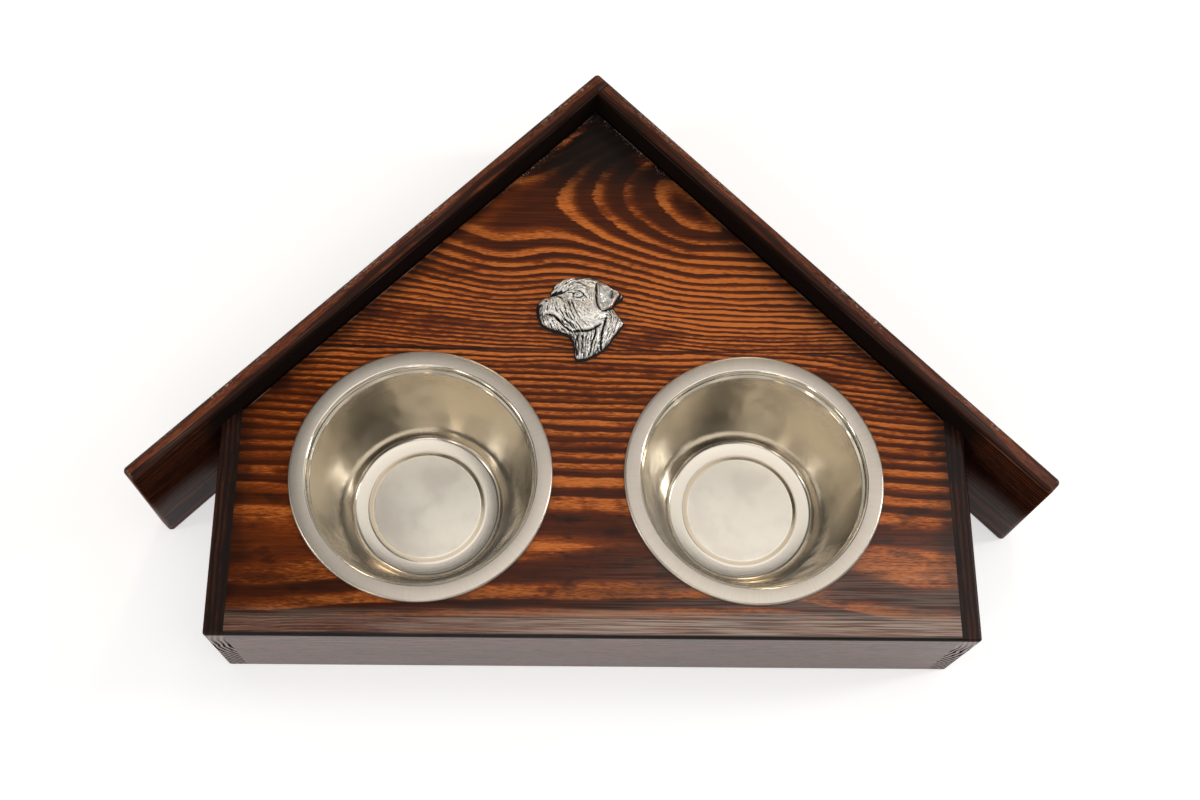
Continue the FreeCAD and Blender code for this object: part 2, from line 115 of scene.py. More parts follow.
class WoodFinish(bpy.types.PropertyGroup):
    light_ring: colour("Light rings", "Hard rings that the flame left amber", (0.56, 0.152, 0.029))
    brown_ring: colour("Brown rings", "Stain between the light and the dark rings", (0.190, 0.038, 0.0065))
    dark_ring: colour("Dark rings", "Soft rings that the flame browned", (0.040, 0.0095, 0.0040))
    # Char colour, also used for the painted shade inside the roof boards
    char: colour("Char", "Burnt edges and corners", (0.0085, 0.0055, 0.0045))
    frame_light: colour("Frame light rings", "Light rings of front, sides and roof", (0.190, 0.050, 0.018))
    frame_brown: colour("Frame brown rings", "Stain of front, sides and roof", (0.082, 0.0195, 0.008))
    frame_dark: colour("Frame dark rings", "Dark rings of front, sides and roof", (0.019, 0.0075, 0.005))
    # Bare wood of worn edges, also used for the painted sheen on the front board and the panel
    scuff_and_sheen: colour("Scuffs", "Wood worn bare on sharp edges", (0.43, 0.335, 0.275))
    raw_light: colour("Raw light rings", "Light rings of the boards underneath", (0.52, 0.28, 0.12))
    raw_brown: colour("Raw brown rings", "Stain of the boards underneath", (0.36, 0.165, 0.062))
    raw_dark: colour("Raw dark rings", "Dark rings of the boards underneath", (0.20, 0.082, 0.03))
    gloss: share("Roughness", "Roughness of the clear lacquer", 0.28)


class SteelFinish(bpy.types.PropertyGroup):
    steel: colour("Steel", "Polished steel of the bowls", (0.66, 0.605, 0.51))
    # Bright steel, also painted on the disc as a painted highlight
    bright: colour("Bright steel", "Steel where it is brushed brightest", (0.76, 0.695, 0.595))
    # Satin steel of the rim, also painted as shade on the flat ring and the disc's smudges
    satin_and_shade: colour("Satin steel", "Rim, ring in the floor and smudges on the disc", (0.52, 0.454, 0.384))
    wall: share("Wall roughness", "Roughness of the polished inside", 0.075)
    rim: share("Rim roughness", "Roughness of the satin rim", 0.33)
    disc: share("Disc roughness", "Roughness of the raised disc in the floor", 0.3)
    zinc: colour("Zinc", "Plating of the screws", (0.62, 0.58, 0.46))


class BowlShape(bpy.types.PropertyGroup):
    rim: length("Rim radius", "Outside radius of the rim", 0.080)
    rim_width: length("Rim width", "Flat rim, from its edge in to the neck", 0.011)
    rim_drop: length("Rim drop", "Height of the rim's turned-down edge", 0.0022)
    steel: length("Sheet", "Thickness of the sheet", 0.0008)
    bend: length("Bend", "Inside radius of the bends at the rim", 0.001)
    neck: length("Neck depth", "Straight neck under the rim", 0.005)
    step: length("Neck step", "How far the wall steps in under the neck", 0.0015)
    depth: length("Depth", "Rim to floor, inside", 0.071)
    floor: length("Floor radius", "Radius of the floor, inside", 0.0475)
    floor_bend: length("Floor bend", "Inside radius between wall and floor", 0.0038)
    ring: length("Floor ring", "Flat ring of the floor around the raised disc", 0.0115)
    rise: length("Disc rise", "Height of the raised disc", 0.0015)
    dish: length("Floor dish", "How far the flat ring rises towards the wall", 0.0007)


class HeadCasting(bpy.types.PropertyGroup):
    plate: length("Plate", "Thickness of the casting at its edge", 0.0022)
    relief: length("Relief", "Height of the domes over the plate", 0.0062)
    spacing: length("Spacing", "Distance between the points of the mesh", 0.00027)
    strokes: bpy.props.IntProperty(
        name="Coat strokes", description="Strokes tried over the whole head", default=2600, min=0)
    bright: colour("Bright pewter", "Pewter rubbed bright", (0.84, 0.805, 0.75))
    tarnish: colour("Tarnish", "Dark patina in the hollows", (0.035, 0.032, 0.030))


class StageSettings(bpy.types.PropertyGroup):
    camera_place: bpy.props.FloatVectorProperty(
        name="Camera place", description="Where the camera stands", size=3,
        default=(-0.03775, -0.37719, 0.96687), subtype="TRANSLATION", unit="LENGTH")
    yaw: tilt("Yaw", "Camera's turn to the right of +Y", 6.714)
    pitch: tilt("Pitch", "Camera's tilt above the horizon", -68.796)
    roll: tilt("Roll", "Camera's turn about its own axis", 7.121)
    lens: bpy.props.FloatProperty(
        name="Lens", description="Focal length on a 36 mm sensor", default=45.707, unit="CAMERA")
    floor: colour("Floor", "Pale floor", (0.72, 0.71, 0.70))


# Shader building blocks

class Field:
    """A value on a node's socket. Arithmetic on it adds math nodes to the same tree."""

    def __init__(self, graph, socket):
        self.graph = graph
        self.socket = socket

    def __add__(self, other):
        return self.graph.math("ADD", self, other)

    __radd__ = __add__

    def __sub__(self, other):
        return self.graph.math("SUBTRACT", self, other)

    def __rsub__(self, other):
        return self.graph.math("SUBTRACT", other, self)

    def __mul__(self, other):
        return self.graph.math("MULTIPLY", self, other)

    __rmul__ = __mul__

    def __truediv__(self, other):
        return self.graph.math("DIVIDE", self, other)

    def __abs__(self):
        return self.graph.math("ABSOLUTE", self)


# A noise texture varies about its middle, and each seed shifts it to another place
NOISE_MIDDLE = 0.5
NOISE_SPAN = 3.0
SEED_SHIFT = (17.3, 5.9, 11.1)


class Graph:
    """Adds nodes to one shader tree."""

    def __init__(self, tree):
        self.tree = tree

    def node(self, kind, **settings):
        """New node with its own settings."""
        made = self.tree.nodes.new(kind)
        for name, setting in settings.items():
            setattr(made, name, setting)
        return made

    def feed(self, socket, value):
        """Link a field to a socket, or set a plain value on it."""
        if isinstance(value, Field):
            self.tree.links.new(value.socket, socket)
        else:
            socket.default_value = value

    def fill(self, node, values):
        """Feed several sockets of a node by name."""
        for name, value in values.items():
            self.feed(node.inputs[name], value)

    def math(self, operation, *values):
        """Math node."""
        made = self.node("ShaderNodeMath", operation=operation)
        for socket, value in zip(made.inputs, values):
            self.feed(socket, value)
        return Field(self, made.outputs[0])

    def step(self, low, high, value):
        """Smooth step from 0 at low to 1 at high."""
        made = self.node("ShaderNodeMapRange", interpolation_type="SMOOTHSTEP")
        self.fill(made, {"Value": value, "From Min": low, "From Max": high})
        return Field(self, made.outputs[0])

    def bump(self, value, middle, reach):
        """Bell that is 1 at its middle."""
        offset = (value - middle) / reach
        return self.math("EXPONENT", offset * offset * -1)

    def blob(self, x, y, middle, reach):
        """Bell in two directions."""
        return self.bump(x, middle[0], reach[0]) * self.bump(y, middle[1], reach[1])

    def clamp(self, value):
        """Value held between 0 and 1."""
        made = self.node("ShaderNodeClamp")
        self.feed(made.inputs["Value"], value)
        return Field(self, made.outputs[0])

    def least(self, *values):
        """Smallest of several values."""
        return reduce(lambda first, second: self.math("MINIMUM", first, second), values)

    def most(self, *values):
        """Largest of several values."""
        return reduce(lambda first, second: self.math("MAXIMUM", first, second), values)

    def hypot(self, first, second):
        """Distance from its two parts."""
        return self.math("SQRT", first * first + second * second)

    def split(self, vector):
        """The three parts of a vector."""
        made = self.node("ShaderNodeSeparateXYZ")
        self.feed(made.inputs[0], vector)
        return [Field(self, socket) for socket in made.outputs]

    def join(self, x, y, z):
        """Vector from three parts."""
        made = self.node("ShaderNodeCombineXYZ")
        for socket, value in zip(made.inputs, (x, y, z)):
            self.feed(socket, value)
        return Field(self, made.outputs[0])

    def noise(self, point, size, detail=1.0, seed=0.0):
        """Noise from -1 to 1 whose grain has the given size in each direction."""
        scaled = self.node("ShaderNodeVectorMath", operation="MULTIPLY_ADD")
        self.feed(scaled.inputs[0], point)
        scaled.inputs[1].default_value = [1 / part for part in size]
        shift = [seed * part for part in SEED_SHIFT]
        self.feed(scaled.inputs[2], self.join(*shift) if isinstance(seed, Field) else shift)
        made = self.node("ShaderNodeTexNoise", noise_dimensions="3D")
        self.fill(made, {"Vector": Field(self, scaled.outputs[0]), "Scale": 1.0, "Detail": detail})
        return (Field(self, made.outputs[0]) - NOISE_MIDDLE) * NOISE_SPAN

    def spots(self, low, high, point, size, detail, seed):
        """Mask that goes from 0 to 1 where noise rises from low to high."""
        return self.step(low, high, self.noise(point, size, detail, seed))

    def mix(self, amount, first, second):
        """Colour between two colours."""
        made = self.node("ShaderNodeMix", data_type="RGBA")
        for index, value in ((0, amount), (6, first), (7, second)):
            self.feed(made.inputs[index], value)
        return Field(self, made.outputs[2])

    def place_mm(self, turn=0.0):
        """Place on the surface in millimetres, turned so that the grain runs along X."""
        coordinates = self.node("ShaderNodeTexCoord").outputs["Object"]
        turned = self.node("ShaderNodeVectorRotate", rotation_type="Z_AXIS")
        self.tree.links.new(coordinates, turned.inputs["Vector"])
        turned.inputs["Angle"].default_value = -turn
        scaled = self.node("ShaderNodeVectorMath", operation="SCALE")
        self.tree.links.new(turned.outputs[0], scaled.inputs[0])
        scaled.inputs["Scale"].default_value = 1 / MM
        return Field(self, scaled.outputs[0])

    def use(self, group, **values):
        """Place a node group with its own values; returns its outputs by name."""
        made = self.node("ShaderNodeGroup", node_tree=group)
        for name, value in values.items():
            self.feed(made.inputs[name.replace("_", " ").title()], value)
        return {socket.name: Field(self, socket) for socket in made.outputs}

    def raised(self, height, strength, distance):
        """Normal of a surface that a height raises by a distance in metres."""
        made = self.node("ShaderNodeBump")
        self.fill(made, {"Strength": strength, "Distance": distance, "Height": height})
        return Field(self, made.outputs[0])


SOCKETS = {"value": "NodeSocketFloat", "vector": "NodeSocketVector", "colour": "NodeSocketColor"}


def effect(name, inputs, outputs):
    """Decorator that turns a function into a shader node group, built once when first asked for."""
    def wrap(fill):
        def group():
            found = bpy.data.node_groups.get(name)
            if found:
                return found
            tree = bpy.data.node_groups.new(name, "ShaderNodeTree")
            for label, kind in inputs.items():
                tree.interface.new_socket(label, in_out="INPUT", socket_type=SOCKETS[kind])
            for label, kind in outputs.items():
                tree.interface.new_socket(label, in_out="OUTPUT", socket_type=SOCKETS[kind])
            graph = Graph(tree)
            entry = graph.node("NodeGroupInput")
            leave = graph.node("NodeGroupOutput")
            results = fill(graph, *[Field(graph, entry.outputs[label]) for label in inputs])
            for label, result in zip(outputs, results):
                graph.feed(leave.inputs[label], result)
            return tree
        return group
    return wrap


@effect("Pine Wander", {"Point": "vector"}, {"Point": "vector"})
def pine_wander(graph, point):
    """Grain that wanders off its straight line, with ragged fibres where rings turn across it."""
    x, y, z = graph.split(point)
    slow = graph.noise(point, (80, 26, 26), 1, 1) * 1.7
    ripple = graph.noise(point, (26, 7, 7), 1, 2) * 0.8
    fibres = graph.noise(point, (7, 0.7, 0.7), 1, 3) * 0.3
    ragged = graph.noise(point, (9, 0.8, 0.8), 1, 4) * 2.0
    return [graph.join(x + ragged, y + slow + ripple + fibres, z + slow)]


@effect(
    "Pine Rings", {"Phase": "value", "Gap": "value", "Seed": "value"}, {"Light": "value", "Tone": "value"})
def pine_rings(graph, phase, gap, seed):
    """Growth rings from a running count: amber that fades in and stops short, no two rings alike."""
    turn = graph.math("FRACT", phase)
    ring = graph.math("FLOOR", phase + 0.4) + seed
    random = graph.node("ShaderNodeTexWhiteNoise", noise_dimensions="1D")
    graph.feed(random.inputs["W"], ring)
    tone = Field(graph, random.outputs["Value"])
    start = gap - tone * 0.12
    rise = graph.step(start, start + 0.4, turn)
    fall = 1 - graph.step(0.12, 0.22, turn)
    late = graph.math("GREATER_THAN", turn, 0.4)
    return [rise * late + fall * (1 - late), tone]


@effect("Pine Fibre", {"Point": "vector"}, {"Fibre": "value", "Pores": "value"})
def pine_fibre(graph, point):
    """Fine streaks along the grain, and short dark pores."""
    fine = graph.noise(point, (16, 0.45, 0.45), 2, 5)
    broad = graph.noise(point, (75, 1.4, 1.4), 2, 6)
    pores = graph.spots(0.35, 0.85, point, (8, 0.5, 0.5), 1, 7)
    return [fine * 0.45 + broad * 0.75, pores]


@effect("Pine Tone", {"Point": "vector", "Ring": "value"}, {"Tone": "value"})
def pine_tone(graph, point, ring):
    """How light the amber is: each ring has its own tone, which varies along it and in short flecks."""
    flecks = graph.noise(point, (5, 0.7, 0.7), 2, 26) * 0.5
    return [0.55 + ring * 0.34 + graph.noise(point, (55, 9, 9), 2, 21) * 0.27 + flecks]


@effect("Pine Blotch", {"Point": "vector", "Seed": "value"}, {"Mask": "value"})
def pine_blotch(graph, point, seed):
    """Dark blotches along a board, in other places for each seed."""
    patches = graph.noise(point, (60, 14, 14), 3, seed) + graph.noise(point, (10, 6, 6), 2, seed + 1) * 0.4
    return [graph.step(0.0, 0.9, patches)]


@effect("Char Edge", {"Point": "vector", "Distance": "value", "Reach": "value"}, {"Mask": "value"})
def char_edge(graph, point, distance, reach):
    """Burn that is full at an edge and dies out raggedly over its reach."""
    ragged = graph.noise(point, (16, 9, 9), 2, 8) * 0.35 + graph.noise(point, (60, 30, 30), 1, 9) * 0.3
    return [1 - graph.step(0.0, 1.0, distance / reach + ragged)]


@effect("Sheen Lines", {"Point": "vector"}, {"Lines": "value", "Sheen Ramp": "value"})
def sheen_lines(graph, point):
    """Fine lines along the front edge, and how much the painted sheen rises towards the right."""
    x, _, _ = graph.split(point)
    return [graph.spots(-0.4, 0.4, point, (45, 0.8, 0.8), 2, 30), graph.step(-170, 40, x)]


@effect("Board Seam", {"Distance": "value"}, {"Mask": "value"})
def board_seam(graph, distance):
    """Line where two boards meet."""
    return [1 - graph.step(0.2, 0.75, distance)]


STAIN_INPUTS = {
    "Light": "value", "Tone": "value", "Fibre": "value", "Pores": "value", "Burn": "value", "Blotch": "value",
    "Glow": "value", "Light Ring": "colour", "Brown Ring": "colour", "Dark Ring": "colour", "Char": "colour",
    "Gloss": "value",
}


@effect("Burnt And Shaded Stain", STAIN_INPUTS, {"Color": "colour", "Roughness": "value", "Height": "value"})
def burnt_and_shaded_stain(
        graph, light, tone, fibre, pores, burn, blotch, glow, light_ring, brown_ring, dark_ring, char, gloss):
    """Stain over the rings, darkened by fire and by painted shade, and left amber where it glows, under clear
    lacquer.
    """
    depth = (light * tone + 0.10 + fibre * 0.17) * (1 - blotch * 0.75) + glow
    low = graph.clamp(depth * 2)
    high = graph.clamp(depth * 2 - 1)
    stained = graph.mix(high, graph.mix(low, dark_ring, brown_ring), light_ring)
    pored = graph.mix(pores * 0.45, stained, dark_ring)
    burnt = graph.mix(graph.clamp(burn), pored, char)
    roughness = gloss + fibre * 0.05 + pores * 0.12 - burn * 0.05
    height = light * 0.5 + fibre * 0.35 - pores * 0.5
    return [burnt, roughness, height]


def new_material(name):
    """Material with one Principled shader."""
    material = bpy.data.materials.new(name)
    material.use_nodes = True
    shader = material.node_tree.nodes["Principled BSDF"]
    return material, Graph(material.node_tree), shader


RING_GAP = 0.52
WOOD_SHINE = 0.2
GRAIN_HEIGHT = 0.00025


def finish_wood(
        graph, shader, colours, point, phase, seed, burn, blotch, glow=0.0, wear_and_sheen=0.0, gap=RING_GAP, dull=0.0):
    """Join rings, fibre, stain, fire, painted shade, wear and painted sheen to the shader."""
    wood = bpy.context.scene.stand_wood
    rings = graph.use(pine_rings(), phase=phase, gap=gap, seed=seed)
    fibre = graph.use(pine_fibre(), point=point)
    tone = graph.use(pine_tone(), point=point, ring=rings["Tone"])["Tone"]
    light_ring, brown_ring, dark_ring = colours
    stain = graph.use(
        burnt_and_shaded_stain(), light=rings["Light"], tone=tone, fibre=fibre["Fibre"], pores=fibre["Pores"], burn=burn,
        blotch=blotch, glow=glow, light_ring=light_ring, brown_ring=brown_ring, dark_ring=dark_ring,
        char=wood.char, gloss=wood.gloss)
    graph.fill(shader, {
        "Base Color": graph.mix(wear_and_sheen, stain["Color"], wood.scuff_and_sheen),
        "Roughness": graph.clamp(stain["Roughness"] + dull * 0.7),
        "Specular IOR Level": WOOD_SHINE,
        "Normal": graph.raised(stain["Height"], 0.35, GRAIN_HEIGHT),
    })


def lacquer(graph, shader, weight):
    """Give all of the gloss to a clear coat that is thicker in some places."""
    gloss = bpy.context.scene.stand_wood.gloss
    graph.fill(shader, {"Specular IOR Level": 0.0, "Coat Roughness": gloss, "Coat Weight": weight})


# Panel boards. Places and lengths are in millimetres

ARCH_AXIS = 108
ARCH_HEAD = 58
ARCH_LENGTH = 86
ARCH_BEND = 33
ARCH_BLEND = 25
KNOT = (60, 97)
KNOT_HALF = (33, 14)
GABLE_RING = 20
FLAME_AXIS = -132
FLAME_TIP = 3
FLAME_BEND = 926
# Places along Y between which the look of the lower board turns into that of the gable
GABLE_TURN = (45, 85)


def upper_figure(graph, x, y):
    """Running count of rings on the gable board: arches bowed to the left, a knot near the right roof."""
    dip = graph.bump(x, -58, 40) * graph.step(5, 65, y) * 14
    beside = y - (ARCH_AXIS - dip + graph.step(60, 170, x * -1) * 6)
    ahead = graph.math("SMOOTH_MAX", ARCH_HEAD - x, 0.0, ARCH_BLEND)
    ahead = graph.math("SMOOTH_MIN", ahead, ARCH_LENGTH, ARCH_BLEND)
    arches = beside * beside / ARCH_BEND + ahead - 17
    right = x - KNOT[0]
    back = y - KNOT[1]
    knot = graph.hypot((right - back) / KNOT_HALF[0], (right + back) / KNOT_HALF[1])
    around = graph.least((knot - 1) * KNOT_HALF[1], 6.0)
    return graph.math("SMOOTH_MAX", arches, around, 4.0) / GABLE_RING


def lower_figure(graph, x, y):
    """Running count of rings on the lower board: straight lines that open into flames towards the front."""
    beside = y - (FLAME_AXIS - graph.step(90, 215, x) * 12)
    taper = (x - FLAME_TIP) * 0.0013 - graph.step(90, 200, x) * 0.42 - graph.step(70, 200, x * -1) * 0.35
    return beside * beside / FLAME_BEND + taper + 0.17


def upper_glow(graph, x, y):
    """Amber left beside the left roof, and a red patch under the right one."""
    from_roof = y - x - PANEL_RIDGE
    streak = graph.bump(from_roof, -4, 3) * graph.bump(y, 148, 9) * 0.5
    corner = graph.bump(x, -70, 24) * graph.bump(from_roof, -9, 8) * 0.4
    return streak + corner + graph.blob(x, y, (33, 131), (7, 5)) * 0.4


def lower_glow(graph, x, y):
    """Amber flames between the bowls and in the two front corners."""
    width = graph.step(8, -45, x) * 3 - 5
    flame = (1 - graph.step(4.5, 6.7, abs(y - FLAME_AXIS) - width)) * graph.step(4, -4, x)
    between = flame * graph.step(-62, -48, x) * 0.62
    left = graph.blob(x, y, (-200, -131), (26, 6)) + graph.blob(x, y, (-200, -111), (26, 5))
    return between + left * 0.34 + graph.blob(x, y, (196, -143), (24, 13)) * 0.3


def roof_gap(ridge, x, y):
    """Distance from both slopes of a gable whose ridge lies at the given place along Y."""
    return (ridge - abs(x) - y) * math.sqrt(0.5)


@effect("Panel Burn", {"Point": "vector"}, {"Burn": "value"})
def panel_burn(graph, point):
    """Fire along the roof, at the sides, in the ridge and towards the front, and dark seams."""
    x, y, _ = graph.split(point)
    side = PANEL_HALF - abs(x)
    roof = roof_gap(PANEL_RIDGE, x, y)
    ridge = graph.step(96, 132, y + graph.noise(point, (30, 30, 30), 2, 12) * 7) * 0.985
    smoke = graph.noise(point, (90, 26, 26), 2, 22) * 16
    front = graph.step(-128, -160, y + smoke) * graph.spots(-0.9, 0.5, point, (46, 9, 9), 3, 23) * 0.62
    apron = (1 - graph.step(FRONT_INSIDE + 1, FRONT_INSIDE + 9, y + smoke * 0.1)) * 0.6
    smudges = graph.spots(0.05, 0.5, point, (18, 7, 7), 3, 31) * graph.step(-70, -115, y) * 0.62
    eaves = graph.use(char_edge(), point=point, distance=roof, reach=13.0)["Mask"] * 0.65
    sides = graph.use(char_edge(), point=point, distance=side, reach=15.0)["Mask"] * 0.7
    joint = abs(y - PANEL_JOINT) - graph.step(10, -60, x) * 0.5
    seams = graph.least(joint, abs(y - FRONT_INSIDE), side)
    seam = graph.use(board_seam(), distance=seams)["Mask"] * 0.85
    return [graph.most(eaves, sides, ridge, front, apron, smudges, seam)]


@effect("Panel Blotch", {"Point": "vector"}, {"Mask": "value"})
def panel_blotch_and_shade(graph, point):
    """Dark blotches, wisps and fibres in the stain, with painted shade towards the left edge and a painted
    lighter place on the right under the gable.
    """
    x, y, _ = graph.split(point)
    patches = graph.noise(point, (70, 16, 16), 3, 10) + graph.noise(point, (14, 9, 9), 2, 11) * 0.5
    # Painted light: a lighter place on the right, and painted shade towards the left edge
    lit = graph.blob(x, y, (80, 32), (75, 30))
    shade = graph.step(55, 90, y) * 0.02 + graph.step(-150, -212, x) * 0.5 - lit * 0.8
    wisps = graph.noise(point, (45, 4, 4), 2, 37) * graph.step(-60, -110, y) * 0.5
    fibres = graph.spots(0.0, 0.7, point, (10, 0.6, 0.6), 2, 38) * graph.step(*GABLE_TURN, y) * 0.4
    return [graph.step(0.1, 0.95, patches) + shade + wisps + fibres]


@effect("Panel Specks And Sheen", {"Point": "vector"}, {"Wear And Sheen": "value"})
def panel_specks_and_sheen(graph, point):
    """Pale specks near the ridge and a broken pale line along the roof, and painted sheen as pale lines along
    the front and in the right front corner.
    """
    x, y, _ = graph.split(point)
    roof = roof_gap(PANEL_RIDGE, x, y)
    pale_specks = graph.spots(0.4, 0.6, point, (1.0, 1.0, 1.0), 1, 25) * (1 - graph.step(1, 6, roof))
    pale_roof_line = graph.bump(roof, 0.9, 0.5) * graph.spots(-0.1, 0.4, point, (14, 14, 14), 2, 27)
    worn_and_sheen = graph.use(sheen_lines(), point=point)
    # Painted sheen in the right front corner
    rubbed_and_painted_light = graph.step(-50, 110, x) * graph.step(-112, -162, y) * worn_and_sheen["Lines"] * 0.2
    # Painted sheen along the front, stronger towards the right
    apron = 1 - graph.step(FRONT_INSIDE + 1, FRONT_INSIDE + 7, y)
    sheen_strip = apron * (0.18 + worn_and_sheen["Sheen Ramp"] * 0.42) * (0.2 + worn_and_sheen["Lines"] * 0.8)
    return [pale_specks * graph.step(95, 125, y) * 0.6 + pale_roof_line * 0.22 + graph.most(rubbed_and_painted_light, sheen_strip)]


@effect("Panel Sheen", {"Point": "vector"}, {"Weight": "value"})
def panel_sheen(graph, point):
    """Lacquer that is thinner towards the front and the left, and thicker in the right front corner."""
    x, y, _ = graph.split(point)
    sheen = 0.4 - graph.step(20, -30, y) * 0.17 - graph.step(-60, -170, x) * 0.18
    return [sheen + graph.step(0, 150, x) * graph.step(-60, -150, y) * 0.35]


def panel_material(name, figure, amber, seed):
    """Panel board with its own figure of rings and its own amber."""
    wood = bpy.context.scene.stand_wood
    material, graph, shader = new_material(name)
    point = graph.place_mm()
    _, y, _ = graph.split(point)
    grain_x, grain_y, grain_z = graph.split(graph.use(pine_wander(), point=point)["Point"])
    phase = figure(graph, grain_x, grain_y + (grain_z - PANEL_TOP) * 0.3)
    glow = amber(graph, grain_x, grain_y) * graph.spots(-1.0, 0.6, point, (60, 3, 3), 3, 24)
    # Burn, blotches with painted shade, and wear with painted sheen
    burn = graph.use(panel_burn(), point=point)["Burn"] * (1 - graph.clamp(glow * 1.6))
    blotch = graph.use(panel_blotch_and_shade(), point=point)["Mask"]
    wear_and_sheen = graph.use(panel_specks_and_sheen(), point=point)["Wear And Sheen"]
    gap = RING_GAP + graph.step(*GABLE_TURN, y) * 0.16
    colours = (wood.light_ring, wood.brown_ring, wood.dark_ring)
    finish_wood(graph, shader, colours, point, phase, seed, burn, blotch, glow, wear_and_sheen, gap)
    lacquer(graph, shader, graph.use(panel_sheen(), point=point)["Weight"])
    return material


# Front, side and roof boards

def board_material(name, turn, pith, spacing, seed, fire_and_painted_light=None, colours=None, coat=0.0):
    """Board sawn from a log whose pith lies beside it: rings show as lines along it and arcs on its ends."""
    wood = bpy.context.scene.stand_wood
    material, graph, shader = new_material(name)
    point = graph.place_mm(turn)
    _, across, up = graph.split(graph.use(pine_wander(), point=point)["Point"])
    phase = graph.hypot(across - pith[0], up - pith[1]) / spacing
    blotch = graph.use(pine_blotch(), point=point, seed=seed)["Mask"]
    marks = graph.use(fire_and_painted_light(), raw=graph.place_mm(), point=point, phase=phase) if fire_and_painted_light else {}
    burn, wear_and_sheen, dull = [marks.get(label, 0.0) for label in ("Burn", "Wear And Sheen", "Dull")]
    colours = colours or (wood.frame_light, wood.frame_brown, wood.frame_dark)
    finish_wood(graph, shader, colours, point, phase, seed, burn, blotch, wear_and_sheen=wear_and_sheen, dull=dull)
    if coat:
        lacquer(graph, shader, (1 - dull) * coat)
    return material


# What every board gives to its fire and painted light: its place, the same turned along the grain, and its
# count of rings
FIRE_AND_LIGHT_INPUTS = {"Raw": "vector", "Point": "vector", "Phase": "value"}


@effect("Front Burn", FIRE_AND_LIGHT_INPUTS, {"Burn": "value", "Wear And Sheen": "value"})
def front_burn_and_sheen(graph, raw, _point, _phase):
    """Front board: black along its rounded front edge, with a seam to the panel and painted sheen as pale
    lines on its top.
    """
    _, y, z = graph.split(raw)
    line = 1 - graph.step(1.5, 3.2, abs(y - FRONT_FACE) + abs(z - PANEL_TOP))
    seam = graph.use(board_seam(), distance=abs(y - FRONT_INSIDE))["Mask"] * 0.6
    top = graph.step(PANEL_TOP - 0.6, PANEL_TOP - 0.1, z)
    worn_and_sheen = graph.use(sheen_lines(), point=raw)
    # Painted sheen: pale lines on the top, stronger towards the right
    sheen_strip = (0.22 + worn_and_sheen["Sheen Ramp"] * 0.6) * (0.25 + worn_and_sheen["Lines"] * 0.75)
    return [graph.most(line, seam * top), sheen_strip * (1 - graph.most(line, seam)) * top]


@effect("Side Burn", FIRE_AND_LIGHT_INPUTS, {"Burn": "value", "Dull": "value"})
def side_burn(graph, raw, point, phase):
    """Side board: burnt dark on its top, with black rings in the end grain at the front."""
    x, y, z = graph.split(raw)
    top = graph.step(PANEL_TOP - 3, PANEL_TOP - 1, z)
    inner = graph.use(char_edge(), point=point, distance=abs(x) - PANEL_HALF, reach=11.0)["Mask"]
    patchy = graph.spots(-0.2, 0.9, point, (40, 10, 10), 2, 32) * 0.2 + 0.76
    end = 1 - graph.step(FRONT_FACE + 0.3, FRONT_FACE + 0.9, y)
    low = 1 - graph.step(PANEL_TOP - 30, PANEL_TOP - 5, z) * 0.8
    rings = (1 - graph.step(0.2, 0.28, abs(graph.math("FRACT", phase) - 0.5))) * end * low
    return [graph.most(inner * 0.97 * top, patchy * top, rings), graph.most(rings, top * 0.7)]


@effect("Roof Burn", FIRE_AND_LIGHT_INPUTS, {"Burn": "value", "Wear And Sheen": "value", "Dull": "value"})
def roof_burn_and_shade(graph, raw, point, _phase):
    """Roof board: painted shade that makes it near black inside, less so at the eaves, patchy burn on top,
    chipped at its outer edge.
    """
    x, y, z = graph.split(raw)
    depth = roof_gap(ROOF_INSIDE, x, y)
    eave = graph.step(BASE_HALF, BASE_HALF + 12, abs(x))
    # Painted shade on the inner face: darker high up, lighter at the eaves
    face = graph.step(-1.9, -0.4, depth) * (0.6 + graph.step(PANEL_TOP - 60, PANEL_TOP - 10, z) * 0.4)
    patchy = graph.spots(0.1, 0.9, point, (45, 20, 20), 2, 31) * 0.6
    chips = graph.spots(0.2, 0.45, point, (2.6, 0.9, 0.9), 1, 33)
    places = graph.spots(-0.15, 0.25, point, (50, 30, 30), 2, 34)
    outer = 1 - graph.step(1.0, 6.0, abs(depth + ROOF_BOARD))
    streaks = graph.spots(0.1, 0.8, point, (80, 1.1, 1.1), 2, 35) * 0.14
    top = graph.step(ROOF_TOP - 4, ROOF_TOP - 2, z)
    wear_and_sheen = (chips * places * outer * 0.75 + streaks) * top
    bare = graph.step(-5, -1, depth) * (0.3 + graph.step(PANEL_TOP - 50, PANEL_TOP - 20, z) * 0.7)
    return [graph.most(face * (1 - eave * 0.4) * 0.985, patchy), wear_and_sheen, bare]


# Meshes

def new_piece(name, points, faces, material, smooth=True):
    """Mesh object from points and faces."""
    mesh = bpy.data.meshes.new(name)
    mesh.from_pydata(points, [], faces)
    mesh.materials.append(material)
    mesh.polygons.foreach_set("use_smooth", [smooth] * len(mesh.polygons))
    mesh.update()
    piece = bpy.data.objects.new(name, mesh)
    bpy.context.scene.collection.objects.link(piece)
    return piece


